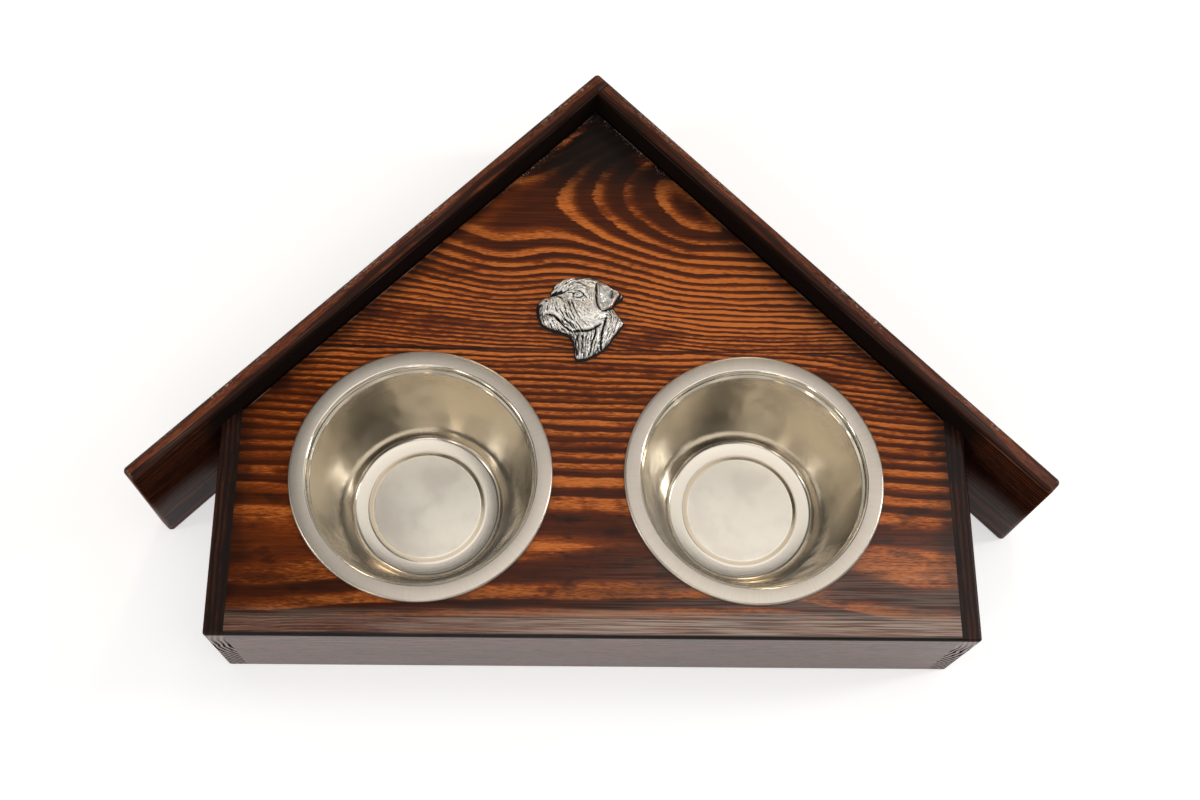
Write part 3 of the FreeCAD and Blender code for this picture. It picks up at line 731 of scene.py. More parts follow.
def rounded(corners, arc_steps=6):
    """Outline through corners given as (x, y, bend radius), with each bend an arc."""
    outline = []
    count = len(corners)
    for index, (x, y, bend) in enumerate(corners):
        here = Vector((x, y))
        if bend == 0 or index in (0, count - 1):
            outline.append(here)
            continue
        before = (Vector(corners[index - 1][:2]) - here).normalized()
        after = (Vector(corners[index + 1][:2]) - here).normalized()
        half = before.angle(after) / 2
        middle = here + (before + after).normalized() * bend / math.sin(half)
        start = here + before * bend / math.tan(half) - middle
        end = here + after * bend / math.tan(half) - middle
        turn = start.angle_signed(end)
        for step in range(arc_steps + 1):
            spin = Matrix.Rotation(-turn * step / arc_steps, 2)
            outline.append(middle + spin @ start)
    return outline


def lathe(outline, segments):
    """Points and faces of an outline of (radius, height) turned about Z. It starts and ends on the axis."""
    points = [(0, 0, outline[0].y)]
    rings = outline[1:-1]
    for radius, height in rings:
        for segment in range(segments):
            angle = 2 * math.pi * segment / segments
            points.append((radius * math.cos(angle), radius * math.sin(angle), height))
    points.append((0, 0, outline[-1].y))
    faces = []
    last = len(points) - 1
    for segment in range(segments):
        beside = (segment + 1) % segments
        faces.append((0, 1 + segment, 1 + beside))
        for ring in range(len(rings) - 1):
            first = 1 + ring * segments
            second = first + segments
            faces.append((first + segment, second + segment, second + beside, first + beside))
        first = 1 + (len(rings) - 1) * segments
        faces.append((last, first + beside, first + segment))
    return points, faces


# Bowls

@effect("Turned Steel", {"Point": "vector"}, {"Lines": "value", "Smudge": "value"})
def turned_steel(graph, point):
    """Faint lines left by spinning, around the bowl's own axis, and broad smudges."""
    x, y, z = graph.split(point)
    radius = graph.hypot(x, y) + 0.01
    spun = graph.join(x / radius * 6, y / radius * 6, radius * 2.5 + z * 2.5)
    lines = graph.noise(spun, (1, 1, 1), 2, 14)
    smudge = graph.noise(point, (22, 22, 22), 3, 15)
    return [lines, smudge]


WAVE_HEIGHT = 0.00014


def steel_material(bowl):
    """Bowl steel: polished wall, satin rim, brushed disc painted brighter as a painted highlight, and a
    duller ring around the disc painted darker as painted shade.
    """
    steel = bpy.context.scene.stand_steel
    neck = (bowl.rim - bowl.rim_width) / MM
    floor = bowl.floor / MM
    edge = (bowl.floor - bowl.ring) / MM
    material, graph, shader = new_material("bowl_steel")
    point = graph.place_mm()
    x, y, z = graph.split(point)
    radius = graph.hypot(x, y)
    rim = graph.step(neck + 0.5, neck + 2, radius) * graph.step(-3, -1, z)
    disc = 1 - graph.step(edge - 2.5, edge - 0.5, radius)
    flat = graph.step(edge - 1.5, edge, radius) * (1 - graph.step(floor - 0.5, floor + 3.5, radius))
    ring = flat * (1 - rim)
    wall = graph.step(floor + 1.5, floor + 8.5, radius) * (1 - rim)
    spun = graph.use(turned_steel(), point=point)
    lines = spun["Lines"]
    smudge = spun["Smudge"]
    brushed = graph.most(rim * (steel.rim - steel.wall), disc * (steel.disc - steel.wall))
    ticks = graph.noise(graph.join(x / radius * 70, y / radius * 70, 0.0), (1, 1, 1), 2, 17) * rim
    waves = graph.noise(graph.join(x / radius * 4, y / radius * 4, z * 0.05), (1, 1, 1), 1, 36) * wall
    # Painted highlight: the disc painted brighter. Painted shade: darker smudges on the disc and a darker
    # flat ring
    shade = graph.clamp(0.2 + smudge * (0.2 + disc * 0.5) + lines * 0.12 + disc * 0.45)
    smudges_and_shade = graph.step(-0.3, 0.5, smudge) * disc
    satin_and_shade = graph.clamp(rim * 0.85 + ticks * 0.15 + ring * 0.5 + smudges_and_shade * 0.45)
    around = graph.node("ShaderNodeTangent", direction_type="RADIAL", axis="Z")
    graph.fill(shader, {
        "Base Color": graph.mix(satin_and_shade, graph.mix(shade, steel.steel, steel.bright), steel.satin_and_shade),
        "Roughness": steel.wall + brushed + ring * 0.13 + smudge * 0.02 + lines * 0.02,
        "Metallic": 1.0,
        "Anisotropic": 0.35,
        "Anisotropic Rotation": 0.25,
        "Tangent": Field(graph, around.outputs[0]),
        "Normal": graph.raised(waves + lines * 0.04, 1.0, WAVE_HEIGHT),
    })
    return material


def bowl_outline(bowl):
    """Section of a bowl from its axis, up the inside, over the rim and back under."""
    neck = bowl.rim - bowl.rim_width
    wall = neck - bowl.step
    disc = bowl.floor - bowl.ring
    shoulder = bowl.neck + bowl.step
    under = bowl.depth + bowl.steel
    tight = bowl.bend
    wide = bowl.bend + bowl.steel
    soft = bowl.rise * 0.6
    return rounded([
        (0, bowl.rise - bowl.depth, 0),
        (disc - bowl.rise, bowl.rise - bowl.depth, soft),
        (disc + bowl.rise, -bowl.depth, bowl.floor_bend),
        (bowl.floor, bowl.dish - bowl.depth, bowl.floor_bend),
        (wall, -shoulder, wide),
        (neck, -bowl.neck, tight * 0.5),
        (neck, 0, wide),
        (bowl.rim, 0, wide),
        (bowl.rim, -bowl.rim_drop, 0),
        (bowl.rim - bowl.steel, -bowl.rim_drop, 0),
        (bowl.rim - bowl.steel, -bowl.steel, tight),
        (neck + bowl.steel, -bowl.steel, tight),
        (neck + bowl.steel, -bowl.neck, 0),
        (wall + bowl.steel, -shoulder, tight),
        (bowl.floor + bowl.steel, -under, bowl.floor_bend + bowl.steel),
        (disc, -under, soft),
        (disc - bowl.rise, bowl.rise - under, soft),
        (0, bowl.rise - under, 0),
    ])


class STAND_OT_bowls(bpy.types.Operator):
    """Turn both steel bowls in their holes"""
    bl_idname = "stand.bowls"
    bl_label = "Steel Bowls"

    segments = 192

    def execute(self, context):
        bowl = context.scene.stand_bowl
        points, faces = lathe(bowl_outline(bowl), self.segments)
        material = steel_material(bowl)
        for side in ("left", "right"):
            low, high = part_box(f"bowl_{side}")
            piece = new_piece(f"steel_bowl_{side}", points, faces, material)
            piece.location = ((low.x + high.x) / 2, (low.y + high.y) / 2, high.z)
            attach(piece, f"{side}_bowl")
            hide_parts(f"bowl_{side}")
        return {"FINISHED"}


# Dog's head. Places and lengths are in millimetres

HEAD_OUTLINE = (
    (-27.6, 4), (-26.5, 8.5), (-23, 11.8), (-19.3, 12.8), (-18.6, 16), (-16.5, 20.5), (-12, 24.3), (-6, 26.6),
    (2, 27.2), (11, 26.2), (17, 22.8), (21.5, 19.2), (25.5, 16.8), (27.6, 14.6), (26.6, 11.6), (23, 9.2),
    (21.6, 6.2), (23.8, 1.8), (26.4, -2), (28, -5), (25.2, -9.4), (21.5, -14.6), (18.3, -19.6), (14.2, -23.6),
    (8.6, -27.6), (3.5, -29.8), (-1.6, -30.2), (-3.4, -27.4), (-3.6, -22.5), (-5, -17), (-7.4, -13.8),
    (-13.5, -11.8), (-19.5, -9.6), (-23.6, -7.2), (-25.6, -3.6), (-27, 0),
)
HEAD_TIP = min(y for _, y in HEAD_OUTLINE)
EAR_OUTLINE = (
    (11.2, 22), (10.9, 14), (11.3, 7.5), (13.8, 3.2), (17.2, 4.4), (20.4, 6.4), (22.6, 10.4), (24.8, 15.2),
    (20, 20), (15, 23.4),
)
# Places along Y between which the ear grows out of the skull
EAR_ROOT = (24, 18)
EYE = (-1.3, 12.9)
EYE_SLANT = ((0.82, 0.34), (-0.45, 1.25))
EYE_RADIUS = 2.3
NOSTRIL = (-21.6, 8.5)
NOSE_FRONT = (-24.8, 5.5)
DOME_BLEND = 6
EDGE_TURN = 3.6
# Corners of the field of points that the outline is cut from
HEAD_FIELD = ((-30, -32), (30, 29))

# Domes: middle, half-lengths, share of the relief, turn in degrees
HEAD_FORMS = {
    "skull": ((3, 13), (19, 15), 0.86, 0),
    "cheek": ((4, 1), (16, 13), 0.98, 0),
    "brow": ((-11, 20), (11, 7), 0.78, 25),
    "muzzle": ((-15, 4), (13, 9), 0.95, -12),
    "nose": ((-22, 7), (6, 6), 0.78, 0),
    "chin": ((-17, -5), (10, 6), 0.66, -22),
    "beard": ((-10, -9), (9, 6), 0.6, -25),
    "throat": ((3, -18), (11, 19), 0.55, -8),
    "nape": ((17, -9), (14, 17), 0.62, -35),
    "ear_back": ((24, 14), (5.5, 5), 0.5, 0),
}

# Ridges and grooves: path, half-width, height
HEAD_STROKES = {
    "stop": (((-19.5, 13.4), (-15, 14.6), (-10.5, 15.4)), 1.1, -1.6),
    "lip": (((-21.5, -0.4), (-17, -1.2), (-13, -4.6), (-9, -8.8), (-5.2, -11.6)), 0.75, -1.6),
    "upper_lip": (((-21, 1.2), (-16.4, 0.6), (-12, -2.8), (-8, -7), (-4.6, -10)), 0.8, 0.5),
    "muzzle_ridge": (((-22, 11.4), (-16, 12.2), (-10.5, 13)), 1.0, 0.6),
    "cheek_fold": (((-5.5, 11), (-4, 5), (-1, -1), (3, -6), (7, -8.4)), 0.6, -0.8),
    "cheek_fold_front": (((-8, 10), (-6, 3), (-3.6, -3), (0.4, -8.6)), 0.5, -0.65),
    "cheek_fold_back": (((-2.8, 5), (0, 0.5), (4, -4.5), (8.5, -6.8)), 0.5, -0.5),
    "muzzle_fold": (((-10.5, 9), (-8.6, 1), (-6, -5), (-2.4, -10)), 0.5, -0.55),
    "lid_line": (((-3.6, 16.4), (-0.6, 15.6), (1.8, 13.6), (4.2, 10.9)), 0.5, -1.0),
    "upper_lid": (((-4.2, 14.8), (-1.6, 15.2), (0.8, 13.8), (2.4, 11.8)), 0.55, 0.9),
    "brow_fold": (((-0.6, 17.9), (2.6, 16.2), (4.4, 13.4), (5.8, 11.2)), 0.9, 0.9),
    "lower_lid": (((-4.2, 11.6), (-1.4, 10.5), (1.8, 11.4)), 0.45, 0.6),
    "eye_bag": (((-4.6, 9.8), (-1, 8.7), (3.6, 9.4)), 0.45, -0.55),
    "brow_wrinkle": (((-7.4, 16.6), (-6.6, 20.6), (-2.6, 22.6), (2.4, 20.4), (5, 16.8)), 0.5, -0.55),
    "brow_wrinkle_top": (((-9, 17), (-8.4, 22), (-3, 24.6), (3.6, 22.4)), 0.45, -0.4),
    "brow_bulge": (((-5.2, 16.8), (-4.4, 19.4), (-1.6, 20.6)), 0.7, 0.5),
    "nape_groove": (((16.8, 0), (15.4, -6), (13.8, -13), (13, -20), (14, -25)), 0.8, -1.3),
    "nape_ridge": (((18.6, -3), (17, -9), (15.4, -15), (14.8, -21)), 0.9, 0.5),
    "throat_groove": (((9.8, -8.6), (9.6, -13), (7.6, -19), (6, -27)), 0.65, -0.9),
    "throat_ridge": (((11.4, -9.6), (10.6, -14), (8.8, -18.6)), 0.8, 0.7),
    "jaw": (((-4.8, -11.6), (0, -10.8), (5.2, -10.6), (9.6, -8.6), (15.4, -4.2)), 0.8, -1.2),
    "cut_edge": (((0, -31), (7, -29), (14, -24.6), (19, -18.6), (24.4, -11.2), (28, -5.6)), 0.8, 0.5),
    "throat_fold": (((-1.8, -14), (-2.4, -20), (-1.6, -28)), 0.7, -0.7),
    "throat_fold_back": (((2, -13), (1.4, -20), (2.4, -28)), 0.6, -0.6),
    "nape_edge": (((22, 3.4), (24, -0.4), (26.8, -4.2)), 0.6, 0.4),
}

COAT_SEED = 5
COAT_STEPS = 4
COAT_WIDTH = 0.26
# Lie of the coat: place, direction in degrees, stroke length, height
COAT = {
    "nose": ((-20, 4), -95, 4.0, 0.38),
    "muzzle": ((-14, 5), -72, 5.0, 0.44),
    "muzzle_back": ((-9, 5), -66, 5.0, 0.42),
    "lip": ((-14, -1), -42, 4.0, 0.40),
    "chin": ((-18, -5), -65, 3.5, 0.46),
    "beard": ((-11, -10), -48, 3.5, 0.46),
    "cheek_front": ((-3, -4), -58, 5.0, 0.36),
    "cheek": ((5, -3), -38, 4.0, 0.22),
    "jaw": ((11, -3), 25, 3.5, 0.24),
    "forelock": ((-15, 20), 55, 4.5, 0.46),
    "brow": ((-8, 23), 40, 4.0, 0.40),
    "skull": ((2, 24), 5, 3.0, 0.16),
    "skull_back": ((10, 23), -30, 3.0, 0.16),
    "temple": ((7, 14), -80, 3.5, 0.20),
    "under_eye": ((3, 6), -70, 2.5, 0.14),
    "throat": ((1, -19), -84, 4.0, 0.28),
    "throat_back": ((7, -15), -100, 4.0, 0.26),
    "nape": ((20, -8), -112, 3.5, 0.22),
    "nape_low": ((16, -18), -118, 4.0, 0.28),
    "ear": ((17, 13), -70, 2.5, 0.16),
    "nose_tip": ((-24, 8), -80, 2.0, 0.15),
}

# Where the patina is rubbed bright, or left dark below zero, which also paints highlights and shade on the
# head's forms: middle, reach, amount
RUBBED_AND_PAINTED_LIGHT = {
    "cheek": ((6, -1), 7, 0.55),
    "muzzle": ((-15, 9), 6, 0.30),
    "chin": ((-18, -5), 4, 0.40),
    "nape": ((19, -8), 6, 0.15),
    "nose": ((-27, 4), 5, -0.70),
    "throat": ((-3, -19), 6, -0.35),
    "ear": ((17.5, 13), 5, -0.15),
    "eye": (EYE, 2.2, -0.60),
    "ear_back": ((26, 12), 3, -0.50),
    "brow": ((-17, 17), 5, -0.30),
}
# Depth at which a hollow is full of patina, rounds of smoothing to find it, and the patina of the sides
HOLLOW_DEPTH = 0.4
SETTLE_ROUNDS = 14
SIDE_HOLLOW = 0.35

# Cells along each side of the casting's grain
GRAIN_CELLS = 128


def curve(points, closed=False, steps=8):
    """Smooth line through points."""
    points = np.array(points, float)
    if closed:
        padded = np.vstack((points[-1:], points, points[:2]))
    else:
        padded = np.vstack((2 * points[:1] - points[1:2], points, 2 * points[-1:] - points[-2:-1]))
    before, start, end, after = padded[:-3], padded[1:-2], padded[2:-1], padded[3:]
    rows = []
    for t in np.arange(steps) / steps:
        rows.append(0.5 * (
            2 * start + (end - before) * t + (2 * before - 5 * start + 4 * end - after) * t**2
            + (3 * start - before - 3 * end + after) * t**3))
    line = np.stack(rows, 1).reshape(-1, 2)
    return line if closed else np.vstack((line, points[-1:]))


def gap_to(line, places, closed=False):
    """Distance from places to a line, and where along it the nearest point lies, from 0 to 1."""
    gaps = np.full(len(places), np.inf)
    along = np.zeros(len(places))
    starts, ends = (line, np.roll(line, -1, 0)) if closed else (line[:-1], line[1:])
    for index, (start, end) in enumerate(zip(starts, ends)):
        edge = end - start
        offset = places - start
        t = np.clip(offset @ edge / (edge @ edge), 0, 1)
        gap = np.hypot(*(offset - t[:, None] * edge).T)
        near = gap < gaps
        gaps[near] = gap[near]
        along[near] = (index + t[near]) / len(ends)
    return gaps, along


def inside(line, places):
    """Which places lie inside a closed line."""
    x, y = places.T
    found = np.zeros(len(places), bool)
    for (ax, ay), (bx, by) in zip(line, np.roll(line, -1, 0)):
        if ay != by:
            crosses = (ay > y) != (by > y)
            found ^= crosses & (x < (bx - ax) * (y - ay) / (by - ay) + ax)
    return found


def fade(low, high, value):
    """Smooth step from 0 at low to 1 at high."""
    t = np.clip((value - low) / (high - low), 0, 1)
    return t * t * (3 - 2 * t)


def cast_grain(places, size, seed):
    """Smooth noise from -1 to 1 over the casting."""
    cells = np.random.default_rng(seed).uniform(-1, 1, (GRAIN_CELLS, GRAIN_CELLS))
    spot = places / size + GRAIN_CELLS / 2
    low = np.floor(spot).astype(int)
    part = fade(0, 1, spot - low)
    x, y = low.T % (GRAIN_CELLS - 1)
    first = cells[x, y] + (cells[x + 1, y] - cells[x, y]) * part[:, 0]
    second = cells[x, y + 1] + (cells[x + 1, y + 1] - cells[x, y + 1]) * part[:, 0]
    return first + (second - first) * part[:, 1]


def coat_strokes(outline, count):
    """Short ridges and grooves that follow the lie of the coat."""
    random = np.random.default_rng(COAT_SEED)
    spots, angles, lengths, heights = (np.array(column, float) for column in zip(*COAT.values()))
    headings = np.stack((np.cos(np.radians(angles)), np.sin(np.radians(angles))), 1)

    def weights(place):
        near = 1 / (((spots - place) ** 2).sum(1) + 2) ** 2
        return near / near.sum()

    starts = outline.min(0) + random.uniform(size=(count, 2)) * np.ptp(outline, axis=0)
    for start in starts[inside(outline, starts)]:
        length = weights(start) @ lengths * random.uniform(0.6, 1.3)
        height = weights(start) @ heights * random.choice((-1, 1)) * random.uniform(0.5, 1.2)
        path = [start]
        for _ in range(COAT_STEPS):
            heading = weights(path[-1]) @ headings
            path.append(path[-1] + heading / np.hypot(*heading) * length / COAT_STEPS)
        yield np.array(path), COAT_WIDTH, height


def stroke_relief(places, strokes):
    """Height of strokes, each fading at its ends."""
    relief = np.zeros(len(places))
    for line, width, height in strokes:
        reach = 3 * width
        near = np.all((places > line.min(0) - reach) & (places < line.max(0) + reach), 1)
        gap, along = gap_to(line, places[near])
        ends = np.minimum(1, 5 * np.minimum(along + 0.06, 1.06 - along))
        relief[near] += height * np.exp(-(gap / width) ** 2) * ends
    return relief


def hollow_at(places, middle, reach, depth):
    """Small round hollow."""
    return -depth * np.exp(-((places - middle) ** 2).sum(1) / reach**2)


def ear_relief(places):
    """Ear flap that hangs over the cheek, with a thick rim and a shadow line around it."""
    line = curve(EAR_OUTLINE, closed=True)
    gap, _ = gap_to(line, places, closed=True)
    gap = np.where(inside(line, places), gap, -gap)
    flap = 1.5 * fade(-0.25, 0.55, gap) - 0.9 * fade(0.9, 4.5, gap)
    rim = np.exp(-((gap - 0.8) / 0.7) ** 2)
    shadow = np.exp(-((gap + 0.8) / 0.5) ** 2)
    hang = fade(*EAR_ROOT, places[:, 1])
    return (flap + 0.7 * rim - 0.7 * shadow) * hang, gap, rim * hang


def eye_relief(places):
    """Almond eye in its socket, with a hollow pupil."""
    away = np.hypot(*((places - EYE) @ np.array(EYE_SLANT)).T)
    ball = np.sqrt(np.clip(1 - (away / EYE_RADIUS) ** 2, 0, None))
    socket = 0.9 * np.exp(-((away - EYE_RADIUS - 0.5) / 0.6) ** 2)
    return ball - socket + hollow_at(places, np.add(EYE, (-0.9, 0.2)), 0.8, 0.4)


def dome_relief(places):
    """Domes run together, as a share of the relief."""
    total = np.zeros(len(places))
    for middle, half, tall, turn in HEAD_FORMS.values():
        angle = math.radians(turn)
        spin = np.array(((math.cos(angle), -math.sin(angle)), (math.sin(angle), math.cos(angle))))
        offset = (places - middle) @ spin / half
        total += (tall * np.sqrt(np.clip(1 - (offset**2).sum(1), 0, None))) ** DOME_BLEND
    return total ** (1 / DOME_BLEND)


def head_relief(head, places, outline):
    """Height of the casting above its flat back, and how bright it is rubbed, with painted highlights and
    painted shade.
    """
    edge, _ = gap_to(outline, places, closed=True)
    edge_turn = np.sqrt(1 - (1 - np.clip(edge / EDGE_TURN, 0, 1)) ** 2)
    body = head.relief / MM * dome_relief(places) * edge_turn
    folds = [(curve(path), width, tall) for path, width, tall in HEAD_STROKES.values()]
    detail = stroke_relief(places, folds) + stroke_relief(places, coat_strokes(outline, head.strokes))
    ear, ear_gap, ear_rim = ear_relief(places)
    detail = detail * (1 - 0.5 * fade(-0.3, 0.3, ear_gap)) + ear + eye_relief(places)
    detail += hollow_at(places, NOSTRIL, 1.1, 1.3) + hollow_at(places, NOSE_FRONT, 1.3, 0.9)
    detail += 0.06 * cast_grain(places, 0.7, 1) + 0.08 * cast_grain(places, 1.6, 2)
    # Rubbed places, with painted highlights on the cheek and muzzle and painted shade at the nose, throat,
    # eye and brow
    rubbed_and_painted_light = 2.2 * ear_rim - sum(hollow_at(places, *spot) for spot in RUBBED_AND_PAINTED_LIGHT.values())
    return head.plate / MM + body + detail * fade(0.2, 1.6, edge), rubbed_and_painted_light


def settle(values, edges, rounds):
    """Values spread along the edges of a mesh, round by round."""
    counts = np.bincount(edges.ravel(), minlength=len(values))
    for _ in range(rounds):
        total = np.bincount(edges[:, 0], values[edges[:, 1]], len(values))
        total += np.bincount(edges[:, 1], values[edges[:, 0]], len(values))
        values = total / counts
    return values


def pewter_material():
    """Antiqued pewter: rubbed bright on what stands proud, dark in its hollows, with painted highlights and
    painted shade.
    """
    metal = bpy.context.scene.stand_head
    material, graph, shader = new_material("pewter")
    attribute = graph.node("ShaderNodeAttribute", attribute_name="patina_and_painted_light")
    patina_and_painted_light = Field(graph, attribute.outputs["Fac"])
    point = graph.place_mm()
    patina = graph.noise(point, (3, 3, 3), 3, 19) * 0.12 + graph.noise(point, (0.6, 0.6, 0.6), 1, 20) * 0.08
    dark = graph.clamp(patina_and_painted_light * 1.1 + 0.46 + patina)
    graph.fill(shader, {
        "Base Color": graph.mix(dark, metal.bright, metal.tarnish),
        "Roughness": graph.clamp(0.34 + dark * 0.2),
        "Metallic": 1.0,
    })
    return material


def head_places(outline, spacing):
    """Points of the outline, then an even field of points inside it."""
    (left, front), (right, back) = HEAD_FIELD
    columns = np.arange(left, right, spacing)
    rows = np.arange(front, back, spacing * math.sqrt(0.75))
    grid = np.array([(x + spacing / 2 * (row % 2), y) for row, y in enumerate(rows) for x in columns])
    grid = grid[inside(outline, grid)]
    return np.vstack((outline, grid[gap_to(outline, grid, closed=True)[0] > 0.6 * spacing]))


def flat_mesh(places, loop):
    """Points, edges and faces of a flat mesh inside a closed loop."""
    return geometry.delaunay_2d_cdt([Vector(place) for place in places], loop, [], 1, 1e-6)[:3]


class STAND_OT_head(bpy.types.Operator):
    """Cast the dog's head in relief"""
    bl_idname = "stand.head"
    bl_label = "Dog's Head"

    def execute(self, context):
        head = context.scene.stand_head
        outline = curve(HEAD_OUTLINE, closed=True)
        rim = len(outline)
        loop = [(index, (index + 1) % rim) for index in range(rim)]
        flat, edges, front = flat_mesh(head_places(outline, head.spacing / MM), loop)
        _, _, back = flat_mesh(outline, loop)
        top = np.array([(place.x, place.y) for place in flat])
        count = len(top)
        heights, rubbed_and_painted_light = head_relief(head, top, outline)
        sunk = np.clip((settle(heights, np.array(edges), SETTLE_ROUNDS) - heights) / HOLLOW_DEPTH, -1, 1)
        sunk *= fade(-0.3, 0.7, gap_to(outline, top, closed=True)[0])
        worn_and_sheen = fade(0.15, 0.9, (heights - head.plate / MM) / (head.relief / MM))
        # Patina of hollows and wear, with painted highlights and painted shade
        patina_and_painted_light = sunk + 0.5 - worn_and_sheen - rubbed_and_painted_light
        points = [(x * MM, y * MM, z * MM) for (x, y), z in zip(top, heights)]
        points += [(x * MM, y * MM, 0) for x, y in outline]
        faces = list(front)
        faces += [(start, start + count, end + count, end) for start, end in loop]
        faces += [tuple(index + count for index in reversed(face)) for face in back]
        piece = new_piece("dog_head_casting", points, faces, pewter_material())
        low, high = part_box("dog_head")
        piece.location = ((low.x + high.x) / 2, low.y - HEAD_TIP * MM, low.z)
        marks = piece.data.attributes.new("patina_and_painted_light", "FLOAT", "POINT")
        marks.data.foreach_set("value", np.append(patina_and_painted_light, np.full(rim, SIDE_HOLLOW)))
        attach(piece, "stand")
        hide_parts("dog_head")
        return {"FINISHED"}


# Boards, underside and stage

UPRIGHT = math.pi / 2
SLOPE = math.pi / 4
ROOF_PITH = (150, 20)
BLOCKS = ("front_block_left", "front_block_right", "eave_block_left", "eave_block_right", "ridge_block")


def mottled(graph, tint, darkest, mottle):
    """Colour that wanders between itself and a darker shade."""
    shade = [part * darkest for part in tint[:3]] + [1]
    return graph.mix(graph.clamp(0.5 + mottle * 0.4), shade, tint)


def dress(node, material):
    """Give a CAD node its material."""
    mesh = NODES[node].data
    mesh.materials.clear()
    mesh.materials.append(material)


class STAND_OT_panel(bpy.types.Operator):
    """Finish the two panel boards"""
    bl_idname = "stand.panel"
    bl_label = "Panel Boards"

    def execute(self, context):
        dress("panel_upper", panel_material("panel_pine_upper", upper_figure, upper_glow, 3))
        dress("panel_lower", panel_material("panel_pine_lower", lower_figure, lower_glow, 41))
        return {"FINISHED"}


class STAND_OT_frame(bpy.types.Operator):
    """Finish the front, side and roof boards"""
    bl_idname = "stand.frame"
    bl_label = "Front, Sides and Roof"

    def execute(self, context):
        front_pith = ((FRONT_FACE + FRONT_INSIDE) / 2 + 45, PANEL_TOP + 8)
        pith_x = BASE_HALF - 82
        pith_z = PANEL_TOP - 20
        boards = {
            "front_board": ("front_pine", 0, front_pith, 2.0, 61, front_burn_and_sheen, 0.0),
            "left_side": ("left_side_pine", UPRIGHT, (pith_x, pith_z), 3.2, 67, side_burn, 1.0),
            "right_side": ("right_side_pine", UPRIGHT, (-pith_x, pith_z), 3.2, 71, side_burn, 1.0),
            "roof_left": ("roof_left_pine", SLOPE, ROOF_PITH, 2.8, 73, roof_burn_and_shade, 0.5),
            "roof_right": ("roof_right_pine", -SLOPE, ROOF_PITH, 2.8, 79, roof_burn_and_shade, 0.5),
        }
        for node, (name, turn, pith, spacing, seed, fire_and_painted_light, coat) in boards.items():
            dress(node, board_material(name, turn, pith, spacing, seed, fire_and_painted_light, coat=coat))
        return {"FINISHED"}


class STAND_OT_underside(bpy.types.Operator):
    """Finish the cleats, the batten, the glue blocks and the screws"""
    bl_idname = "stand.underside"
    bl_label = "Cleats, Blocks and Screws"

    def execute(self, context):
        wood = context.scene.stand_wood
        raw = (wood.raw_light, wood.raw_brown, wood.raw_dark)
        turns = {
            "front_cleat": 0, "left_cleat": UPRIGHT, "right_cleat": UPRIGHT,
            "roof_cleat_left": SLOPE, "roof_cleat_right": -SLOPE, "panel_batten": UPRIGHT,
        }
        for seed, (node, turn) in enumerate(turns.items(), start=90):
            dress(node, board_material(f"{node}_pine", turn, (seed, 40), 3.0, seed, colours=raw))
        block = board_material("block_pine", 0, (40, -60), 3.0, 97, colours=raw)
        for node in BLOCKS:
            dress(node, block)
        material, graph, shader = new_material("zinc_plate")
        dull = graph.noise(graph.place_mm(), (2, 2, 2), 2, 16)
        zinc = mottled(graph, context.scene.stand_steel.zinc, 0.7, dull)
        graph.fill(shader, {"Base Color": zinc, "Roughness": 0.3 + dull * 0.06, "Metallic": 1.0})
        dress("panel_screws", material)
        return {"FINISHED"}


# Lamps: place, what it points at, size in metres, power in watts, tint
WHITE = (1, 1, 1)
MIDDLE = (0, 0, 0)
LAMPS = {
    "softbox": ((0.5, -0.15, 2.1), (0.5, -0.15, 0), (1.86, 1.85), 14.5, WHITE),
    "left_fill": ((-1.8, -0.5, 1.35), MIDDLE, (0.3, 1.3), 6, WHITE),
    "right_fill": ((1.9, 0.2, 1.2), MIDDLE, (0.3, 1.3), 12, WHITE),
    "front_fill": ((-0.15, -1.8, 2.0), MIDDLE, (0.8, 0.4), 4, WHITE),
    "back_strip": ((0.35, 2.0, 1.5), MIDDLE, (0.2, 1.0), 6, (1, 0.8, 0.55)),
    "front_strip": ((-1.1, -1.7, 1.4), MIDDLE, (0.2, 1.0), 3.5, (1, 0.92, 0.82)),
}
FLOOR_REACH = 12.0
FLOOR_GLOW = 0.50
SENSOR_WIDTH = 36.0


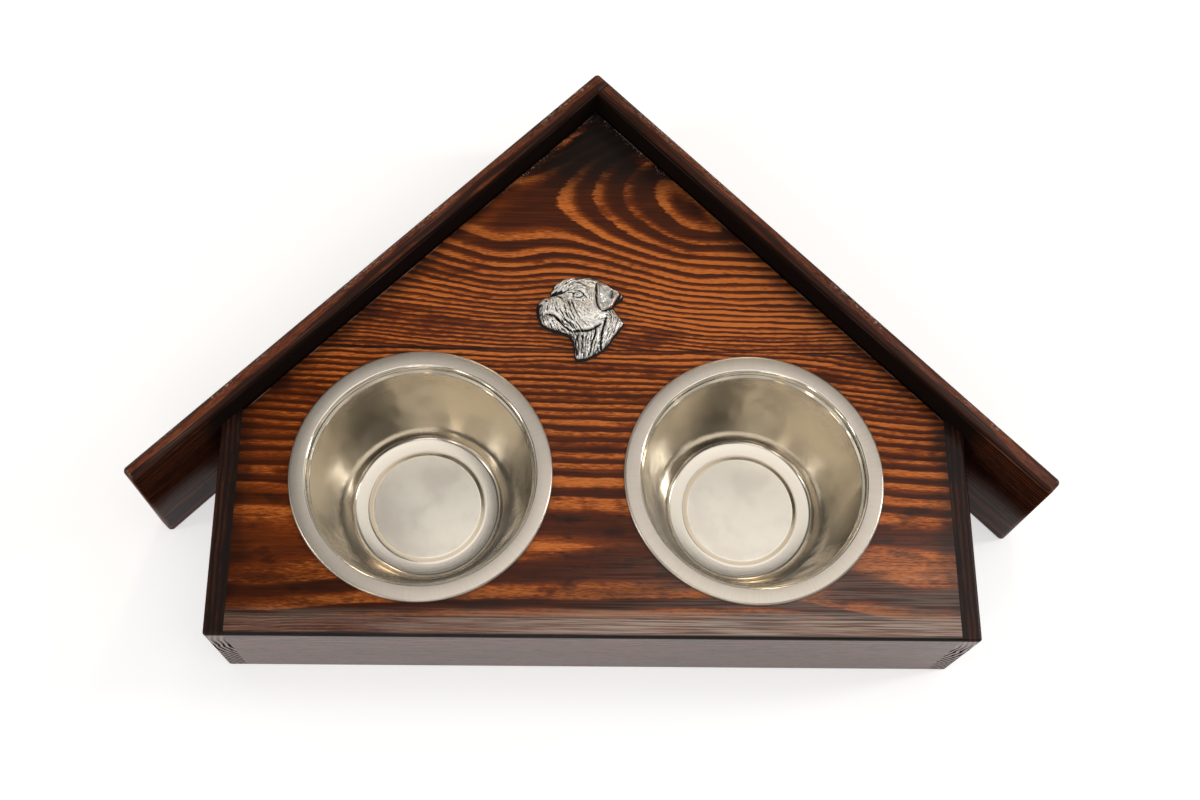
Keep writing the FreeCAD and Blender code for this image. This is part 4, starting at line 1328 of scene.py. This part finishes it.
class STAND_OT_stage(bpy.types.Operator):
    """Set the floor, the lamps, the world and the camera"""
    bl_idname = "stand.stage"
    bl_label = "Stage"

    def lay_floor(self, stage):
        """Pale floor that keeps the shadow, brightened where it is seen or mirrored."""
        material, graph, shader = new_material("pale_floor")
        mottle = graph.noise(graph.place_mm(), (300, 300, 300), 2, 18)
        graph.fill(shader, {
            "Base Color": mottled(graph, stage.floor, 0.985, mottle),
            "Roughness": 0.9,
            "Specular IOR Level": 0.0,
        })
        rays = graph.node("ShaderNodeLightPath").outputs
        kinds = ("Camera", "Glossy", "Transmission")
        seen = graph.most(*[Field(graph, rays[f"Is {kind} Ray"]) for kind in kinds])
        glow = graph.node("ShaderNodeEmission")
        graph.feed(glow.inputs["Strength"], seen * FLOOR_GLOW)
        both = graph.node("ShaderNodeAddShader")
        graph.tree.links.new(shader.outputs[0], both.inputs[0])
        graph.tree.links.new(glow.outputs[0], both.inputs[1])
        graph.tree.links.new(both.outputs[0], graph.tree.nodes["Material Output"].inputs["Surface"])
        corners = [(x * FLOOR_REACH, y * FLOOR_REACH, 0) for x, y in ((-1, -1), (1, -1), (1, 1), (-1, 1))]
        floor = new_piece("floor", corners, [(0, 1, 2, 3)], material, smooth=False)
        floor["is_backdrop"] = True

    def hang_lamp(self, name, place, target, size, power, tint):
        """Area lamp turned to its target."""
        lamp = bpy.data.lights.new(name, "AREA")
        lamp.shape = "RECTANGLE"
        lamp.size, lamp.size_y = size
        lamp.energy = power
        lamp.color = tint
        holder = bpy.data.objects.new(name, lamp)
        holder.location = place
        holder.rotation_mode = "QUATERNION"
        holder.rotation_quaternion = (Vector(target) - Vector(place)).to_track_quat("-Z", "Y")
        bpy.context.scene.collection.objects.link(holder)

    def set_world(self, scene):
        """Soft, uneven light from all around, darker overhead."""
        world = bpy.data.worlds.new("studio")
        world.use_nodes = True
        scene.world = world
        graph = Graph(world.node_tree)
        back = world.node_tree.nodes["Background"]
        back.inputs["Color"].default_value = (1.0, 0.985, 0.955, 1)
        direction = graph.node("ShaderNodeTexCoord").outputs["Generated"]
        _, _, up = graph.split(Field(graph, direction))
        uneven = graph.noise(Field(graph, direction), (0.32, 0.32, 0.9), 0, 28) * 0.35
        level = 0.68 + uneven - graph.step(0.4, 0.82, up) * 0.56
        graph.feed(back.inputs["Strength"], graph.most(level, 0.08))

    def set_camera(self, scene, stage):
        """Camera that stands and turns as its settings say."""
        camera = bpy.data.cameras.new("camera")
        camera.sensor_width = SENSOR_WIDTH
        camera.lens = stage.lens
        holder = bpy.data.objects.new("camera", camera)
        ahead = Vector((
            math.sin(stage.yaw) * math.cos(stage.pitch),
            math.cos(stage.yaw) * math.cos(stage.pitch),
            math.sin(stage.pitch)))
        right = ahead.cross(Vector((0, 0, 1))).normalized()
        up = right.cross(ahead)
        level = Matrix((right, up, -ahead)).transposed()
        turned = level @ Matrix.Rotation(stage.roll, 3, "Z")
        holder.matrix_world = Matrix.LocRotScale(Vector(stage.camera_place), turned, None)
        scene.collection.objects.link(holder)
        scene.camera = holder

    def execute(self, context):
        scene = context.scene
        stage = scene.stand_stage
        self.lay_floor(stage)
        for name, lamp in LAMPS.items():
            self.hang_lamp(name, *lamp)
        self.set_world(scene)
        self.set_camera(scene, stage)
        scene.view_settings.view_transform = "Standard"
        return {"FINISHED"}


class STAND_PT_build(bpy.types.Panel):
    """Steps that finish the stand"""
    bl_idname = "STAND_PT_build"
    bl_label = "Bowl Stand"
    bl_space_type = "VIEW_3D"
    bl_region_type = "UI"
    bl_category = "Bowl Stand"

    def draw(self, context):
        for operator in OPERATORS:
            self.layout.operator(operator.bl_idname)


OPERATORS = (
    STAND_OT_panel, STAND_OT_frame, STAND_OT_underside, STAND_OT_bowls, STAND_OT_head, STAND_OT_stage)
SETTINGS = {
    "stand_wood": WoodFinish, "stand_steel": SteelFinish, "stand_bowl": BowlShape, "stand_head": HeadCasting,
    "stand_stage": StageSettings,
}


def register():
    for item in (*SETTINGS.values(), *OPERATORS, STAND_PT_build):
        bpy.utils.register_class(item)
    for name, kind in SETTINGS.items():
        setattr(bpy.types.Scene, name, bpy.props.PointerProperty(type=kind))


def unregister():
    for name in SETTINGS:
        delattr(bpy.types.Scene, name)
    for item in (STAND_PT_build, *reversed(OPERATORS), *reversed(SETTINGS.values())):
        bpy.utils.unregister_class(item)


def main():
    register()
    bpy.ops.stand.panel()
    bpy.ops.stand.frame()
    bpy.ops.stand.underside()
    bpy.ops.stand.bowls()
    bpy.ops.stand.head()
    bpy.ops.stand.stage()
    boxes = {"cad": CAD_BOX, "visual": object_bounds()}
    {name: [list(corner) for corner in box] for name, box in boxes.items()}


if __name__ == "__main__":
    main()
